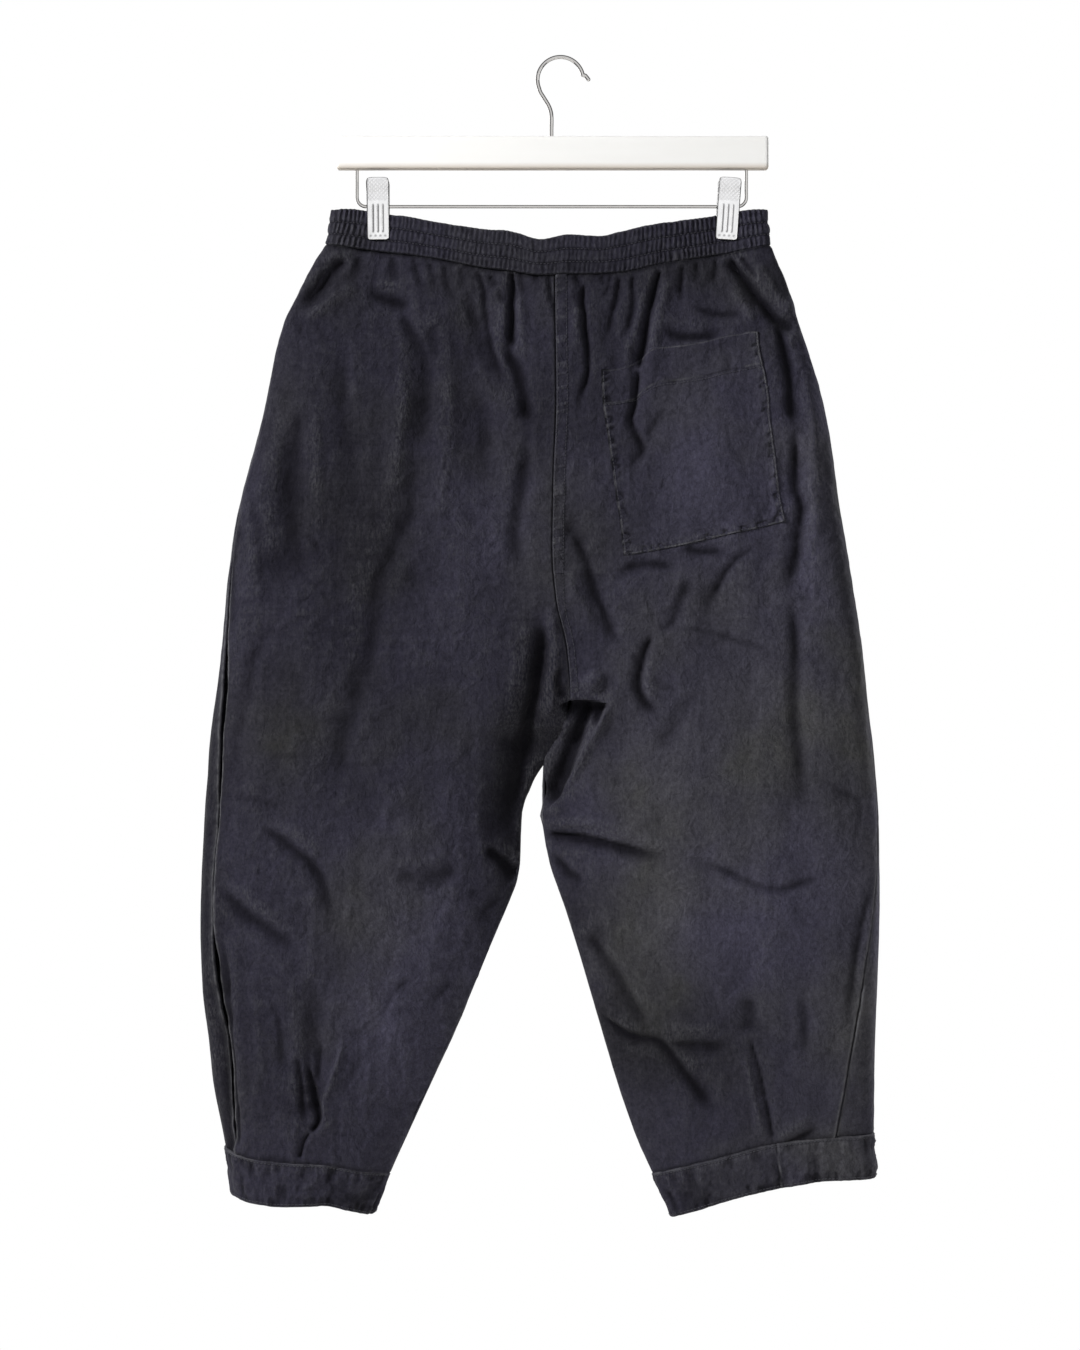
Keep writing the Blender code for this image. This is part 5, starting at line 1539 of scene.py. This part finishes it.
def back_stitching():
    rows = []
    py = np.linspace(278, 692, 420)
    width = CENTRE_TOPSTITCH - 4.5 * ease((py - 540) / 80)
    for share in (0.10, 0.90):
        points, out, _ = on_back(centre_seam_px(py) + 0.35 + share * width, py)
        rows.append((points + 0.45 * out, out))
    rim = 2.0 / UNIT
    outline = pocket_outline_grid(even(132), even(158))
    for line in (
        outline[2:-2, 2], outline[2:-2, -3], outline[-3, 2:-2], outline[int(POCKET_HEM / 1.18), 1:-1],
    ):
        points, out, _ = on_back(line[:, 0], line[:, 1])
        rows.append((points + 1.15 * out, out))
    return stitches("back_stitching", rows, (2.3, 0.40), 0.8)


band_stitching()
cuff_stitching()
back_stitching()


# ===================================================================== hanger
def tube(name, line, radius, finish, sides=20, end_round=True, segments_out=None):
    """A round wire through points in order, its ends rounded."""
    p = np.asarray(line, float)
    way = unit(np.gradient(p, axis=0))
    radius = np.full(len(p), radius) if np.isscalar(radius) else np.asarray(radius, float)
    if end_round:
        r = radius[0]
        caps, cap_r = [], []
        for a in (80, 60, 40, 20):
            caps.append(p[0] - way[0] * r * math.sin(math.radians(a)))
            cap_r.append(r * math.cos(math.radians(a)))
        tail, tail_r = [], []
        for a in (20, 40, 60, 80):
            tail.append(p[-1] + way[-1] * r * math.sin(math.radians(a)))
            tail_r.append(r * math.cos(math.radians(a)))
        p = np.concatenate([caps, p, tail])
        way = np.concatenate([np.repeat(way[:1], 4, 0), way, np.repeat(way[-1:], 4, 0)])
        radius = np.concatenate([cap_r, radius, tail_r])
    side = np.zeros_like(p)
    last = np.array([0.0, 1.0, 0.0]) if abs(way[0][1]) < 0.9 else np.array([1.0, 0, 0])
    for i, w in enumerate(way):
        last = last - w * np.dot(last, w)
        last /= np.linalg.norm(last)
        side[i] = last
    up = np.cross(way, side)
    a = np.linspace(0, 2 * math.pi, sides, endpoint=False)
    points = (
        p[:, None]
        + radius[:, None, None]
        * (np.cos(a)[None, :, None] * side[:, None] + np.sin(a)[None, :, None] * up[:, None])
    )
    faces = grid_faces(len(p), sides, ring=True)
    faces.append(list(range(sides))[::-1])
    last_row = (len(p) - 1) * sides
    faces.append([last_row + k for k in range(sides)])
    return mesh_object(name, points, faces, finish)


def smooth_points(points, step):
    p = np.array(points, float)
    ends = np.concatenate([[2 * p[0] - p[1]], p, [2 * p[-1] - p[-2]]])
    found = []
    for a, b, c, d in zip(ends, ends[1:], ends[2:], ends[3:]):
        count = max(1, int(round(np.linalg.norm(c - b) / step)))
        s = (np.arange(count) / count)[:, None]
        found.append(
            0.5 * (2 * b + (c - a) * s + (2 * a - 5 * b + 4 * c - d) * s**2 + (3 * b - a - 3 * c + d) * s**3)
        )
    return np.concatenate(found + [p[-1:]])


def hanger_bar():
    """A rounded lath, its faces a little crowned and its edges worn soft."""
    columns, round_count = 200, 48
    a = np.linspace(0, 2 * math.pi, round_count, endpoint=False)
    power = 0.28
    x = np.concatenate([
        -BAR_LENGTH / 2 + 2.6 * (1 - np.cos(np.linspace(0, math.pi / 2, 8)[:-1])),
        np.linspace(-BAR_LENGTH / 2 + 2.6, BAR_LENGTH / 2 - 2.6, columns - 14),
        BAR_LENGTH / 2 - 2.6 * (1 - np.cos(np.linspace(0, math.pi / 2, 8)[:-1]))[::-1],
    ])
    inset = 2.6 - np.sqrt(np.maximum(2.6**2 - np.maximum(np.abs(x) - (BAR_LENGTH / 2 - 2.6), 0) ** 2, 0))
    cy = np.sign(np.cos(a)) * np.abs(np.cos(a)) ** power
    cz = np.sign(np.sin(a)) * np.abs(np.sin(a)) ** power
    half_y = BAR_THICK / 2 - inset
    half_z = BAR_HEIGHT / 2 - inset
    wob = 0.06 * noise(x * 1.0, 0 * x, 40, 901)
    px = np.repeat(x[:, None], round_count, 1) + BAR_X
    py = (half_y + wob)[:, None] * cy[None]
    pz = (half_z + wob)[:, None] * cz[None] + BAR_TOP - BAR_HEIGHT / 2
    points = np.stack([px, py, pz], -1)
    faces = grid_faces(len(x), round_count, ring=True, turned=True)
    faces.append(list(range(round_count)))
    last = (len(x) - 1) * round_count
    faces.append([last + k for k in range(round_count)][::-1])
    bar = mesh_object("painted_bar", points, faces, paint)
    return shown(bar, "white_paint", "hanger_bar")


def hook():
    centre_z = HOOK_WIRE / 2 - HOOK_RADIUS
    arc = [
        (HOOK_RADIUS * math.cos(math.radians(a)), 0, centre_z + HOOK_RADIUS * math.sin(math.radians(a)))
        for a in np.linspace(HOOK_START, HOOK_END, 30)
    ]
    stem = [
        (STEM_X, 0, BAR_TOP - 6), (STEM_X, 0, BAR_TOP + 5), (STEM_X, 0, -49.5),
        (STEM_X - 2.0, 0, -42.0), (STEM_X - 6.0, 0, -35.0), (STEM_X - 9.5, 0, -29.5),
    ]
    tip = [(21.8, 0, -14.6), (24.6, 0, -18.0)]
    line = smooth_points(stem + arc + tip, 1.2)
    wire = tube("wire_hook", line, HOOK_WIRE / 2 - 0.02, steel, 24)
    return shown(wire, "bright_steel", "hanger_hook")


def rail():
    bottom = BAR_TOP - BAR_HEIGHT
    line = [(RAIL_LEFT, 0, bottom + 6)]
    line += [(RAIL_LEFT, 0, z) for z in np.linspace(bottom, RAIL_Z + RAIL_CORNER, 14)]
    for a in np.linspace(0, math.pi / 2, 12)[1:]:
        line.append((RAIL_LEFT + RAIL_CORNER * (1 - math.cos(a)), 0, RAIL_Z + RAIL_CORNER * (1 - math.sin(a))))
    line += [(x, 0, RAIL_Z) for x in np.linspace(RAIL_LEFT + RAIL_CORNER, RAIL_RIGHT - RAIL_CORNER, 120)[1:-1]]
    for a in np.linspace(math.pi / 2, 0, 12)[:-1]:
        line.append((RAIL_RIGHT - RAIL_CORNER * (1 - math.cos(a)), 0, RAIL_Z + RAIL_CORNER * (1 - math.sin(a))))
    line += [(RAIL_RIGHT, 0, z) for z in np.linspace(RAIL_Z + RAIL_CORNER, bottom, 14)]
    line.append((RAIL_RIGHT, 0, bottom + 6))
    return shown(tube("wire_rail", line, RAIL_WIRE / 2 - 0.02, steel, 18), "bright_steel", "hanger_rail")


JAW = Table(
    "z y half_width",
    [
        (24.5, 8.4, 9.2), (20, 7.9, 10), (10, 5.4, 10), (4, 4.8, 10), (0, 4.7, 10),
        (-8, 4.9, 10), (-18, 4.9, 10), (-26, 5.0, 10), (-29.5, 5.3, 9.6),
    ],
)
CLIPS = {"left": (-160.5, -0.6), "right": (147.5, 3.8)}  # x and lean in degrees


def jaw(name, x, lean, face, node):
    """A pressed plate: cross-hatched grip above, three ribs and a row of dots below."""
    way = -1 if face == "back" else 1
    z = np.linspace(24.5, -29.5, 92)
    u = np.linspace(-1, 1, 42)
    zz, uu = np.meshgrid(z, u, indexing="ij")
    half = JAW.at("half_width", zz)
    # corners of the plate are rounded off
    corner = np.minimum(24.5 - zz, zz + 29.5)
    half = half - 1.6 * (1 - np.sqrt(1 - (1 - np.clip(corner / 1.8, 0, 1)) ** 2))
    across = uu * half
    y = JAW.at("y", zz) + 0.7 * (1 - uu**2) - 0.2
    grip = ease((zz - 4) / 1.5) * (1 - ease((zz - 22.5) / 1.5)) * (1 - ease((np.abs(across) - 8) / 1.2))
    hatch = np.abs(((across + zz) / 3.6) % 1 - 0.5) * 2 * np.abs(((across - zz) / 3.6) % 1 - 0.5) * 2
    y = y + 0.55 * grip * hatch
    ribs = np.zeros_like(y)
    for centre in (-4.4, 0.0, 4.4):
        ribs += np.exp(-(((across - centre) / 0.62) ** 2))
    ribs *= ease((zz + 24) / 2.0) * (1 - ease((zz - 0.5) / 2.0))
    y = y - 0.75 * ribs
    for centre in (-6.2, -2.1, 2.1, 6.2):
        y = y + 0.5 * np.exp(-(((across - centre) / 0.9) ** 2) - ((zz + 26.6) / 0.9) ** 2)
    # the rim is turned in along both sides
    y = y - 0.9 * ease((np.abs(uu) - 0.9) / 0.1)
    points = np.stack([across, way * y, zz], -1)
    turned = grid_normals(points)[46, 21, 1] * way < 0
    dots = sum(np.exp(-(((across - c) / 0.9) ** 2) - ((zz + 26.6) / 0.9) ** 2) for c in (-6.2, -2.1, 2.1, 6.2))
    # where the plate's colour gets painted shade: ribs, dots, hatch hollows and the turned rim
    groove = 1.0 * ribs + 0.7 * dots + 0.3 * grip * (1 - hatch) ** 4 + 0.5 * ease((np.abs(uu) - 0.88) / 0.1)
    plate = cloth_sheet(name, points, clip_steel, 0.75, turned=turned, marks={"groove": np.clip(groove, 0, 1)})
    plate.location = Vector((x, 0, RAIL_Z)) * MM
    plate.rotation_euler = (0, math.radians(lean), 0)
    return shown(plate, "bright_steel", node)


def spring(name, x, lean, node):
    turns, radius = 7, 2.55
    a = np.linspace(0, turns * 2 * math.pi, turns * 22)
    line = np.stack(
        [np.linspace(-6.0, 6.0, len(a)), radius * np.cos(a), radius * np.sin(a)], -1
    )
    # the ends run up between the jaws
    line = np.concatenate([
        [(-6.0, 4.4, 12.0), (-6.0, 3.6, 7.0), (-6.0, 2.9, 3.0)], line,
        [(6.0, radius + 0.3, 3.2), (6.0, 3.4, 7.0), (6.0, 4.2, 12.0)],
    ])
    coil = tube(name, line, 0.6, steel, 10)
    coil.location = Vector((x, 0, RAIL_Z)) * MM
    coil.rotation_euler = (0, math.radians(lean), 0)
    return shown(coil, "bright_steel", node)


hanger_bar()
hook()
rail()
for clip, (clip_x, clip_lean) in CLIPS.items():
    for clip_face in ("back", "front"):
        jaw(f"{clip}_clip_{clip_face}_plate", clip_x, clip_lean, clip_face, f"clip_{clip}_{clip_face}_jaw")
    spring(f"{clip}_clip_coil", clip_x, clip_lean, f"clip_{clip}_spring")


# ===================================================================== sheets
def sheet_area(piece):
    return sum(polygon.area for polygon in piece.data.polygons)


# ===================================================================== floor, light, camera
def floor_piece():
    made, w = material("pale_floor")
    tone = w.mix(w.grey(w.noise(6.0, 3.0), 0.3, 0.7), (0.80, 0.79, 0.775), (0.84, 0.83, 0.815))
    w.join(tone, w.shader.inputs["Base Color"])
    w.shader.inputs["Roughness"].default_value = 0.7
    w.join(w.bump(w.noise(300.0, 2.0), 0.0004, 0.3), w.shader.inputs["Normal"])
    points = [(-1400, -1500, -1350), (1400, -1500, -1350), (1400, 560, -1350), (-1400, 560, -1350)]
    floor = mesh_object("floor", points, [(0, 1, 2, 3)], made, smooth=False)


def lamp(name, where, aim, size, power, mirrored=True):
    data = bpy.data.lights.new(name, "AREA")
    data.shape = "RECTANGLE"
    data.size, data.size_y = size
    data.energy = power
    made = bpy.data.objects.new(name, data)
    made.location = where
    made.rotation_euler = (Vector(aim) - Vector(where)).to_track_quat("-Z", "Y").to_euler()
    # a small strong lamp would burn white spots into the polished wire
    made.visible_glossy = mirrored
    bpy.context.scene.collection.objects.link(made)


floor_piece()
CENTRE = (-0.018, 0.0, -0.60)
lamp("key", (-2.15, -1.25, 0.75), CENTRE, (0.5, 0.7), 104, mirrored=False)
lamp("fill", (2.3, -1.5, -0.2), CENTRE, (1.2, 1.6), 8)
lamp("front", (0.0, -2.6, 0.9), (-0.01, 0.0, -0.1), (0.8, 0.5), 8, mirrored=False)
lamp("behind", (2.1, 1.35, 0.75), CENTRE, (0.7, 0.9), 96, mirrored=False)
lamp("behind_fill", (-1.6, 2.1, 0.1), CENTRE, (1.4, 1.6), 22)

world = bpy.data.worlds.new("studio")
bpy.context.scene.world = world
world.use_nodes = True
tree = world.node_tree
tree.nodes.clear()
output = tree.nodes.new("ShaderNodeOutputWorld")
mixed = tree.nodes.new("ShaderNodeMixShader")
seen = tree.nodes.new("ShaderNodeBackground")
soft = tree.nodes.new("ShaderNodeBackground")
ray = tree.nodes.new("ShaderNodeLightPath")
seen.inputs["Color"].default_value = (1, 1, 1, 1)
seen.inputs["Strength"].default_value = 1.0
soft.inputs["Color"].default_value = (0.97, 0.98, 1.0, 1)
soft.inputs["Strength"].default_value = 0.045
# metal mirrors a bright studio in front of it and a dark one beside and behind
studio = tree.nodes.new("ShaderNodeBackground")
studio.inputs["Color"].default_value = (0.98, 0.985, 1.0, 1)
way = tree.nodes.new("ShaderNodeTexCoord")
parts = tree.nodes.new("ShaderNodeSeparateXYZ")
toward = tree.nodes.new("ShaderNodeMapRange")
toward.inputs["From Min"].default_value = -0.35
toward.inputs["From Max"].default_value = -1.0
toward.inputs["To Min"].default_value = 0.06
toward.inputs["To Max"].default_value = 1.1
away = tree.nodes.new("ShaderNodeMapRange")
away.inputs["From Min"].default_value = 0.35
away.inputs["From Max"].default_value = 1.0
away.inputs["To Min"].default_value = 0.06
away.inputs["To Max"].default_value = 0.8
either = tree.nodes.new("ShaderNodeMath")
either.operation = "MAXIMUM"
glossy = tree.nodes.new("ShaderNodeMixShader")
tree.links.new(way.outputs["Generated"], parts.inputs[0])
tree.links.new(parts.outputs["Y"], toward.inputs["Value"])
tree.links.new(parts.outputs["Y"], away.inputs["Value"])
tree.links.new(toward.outputs["Result"], either.inputs[0])
tree.links.new(away.outputs["Result"], either.inputs[1])
tree.links.new(either.outputs[0], studio.inputs["Strength"])
tree.links.new(ray.outputs["Is Glossy Ray"], glossy.inputs["Fac"])
tree.links.new(soft.outputs[0], glossy.inputs[1])
tree.links.new(studio.outputs[0], glossy.inputs[2])
tree.links.new(ray.outputs["Is Camera Ray"], mixed.inputs["Fac"])
tree.links.new(glossy.outputs[0], mixed.inputs[1])
tree.links.new(seen.outputs[0], mixed.inputs[2])
tree.links.new(mixed.outputs[0], output.inputs["Surface"])

bpy.context.scene.view_settings.view_transform = "Standard"
bpy.context.scene.view_settings.look = "None"

VIEW_DISTANCE = 2.40
camera_data = bpy.data.cameras.new("camera")
camera = bpy.data.objects.new("camera", camera_data)
bpy.context.scene.collection.objects.link(camera)
camera_data.sensor_width = 36.0
camera_data.lens = 36.0 * VIEW_DISTANCE / (1350 * UNIT * MM)
camera_data.clip_start, camera_data.clip_end = 0.05, 50.0
camera.location = ((540 - ORIGIN_X) * UNIT * MM, -VIEW_DISTANCE, -(675 - ORIGIN_Y) * UNIT * MM)
camera.rotation_euler = (math.pi / 2, 0, 0)
bpy.context.scene.camera = camera
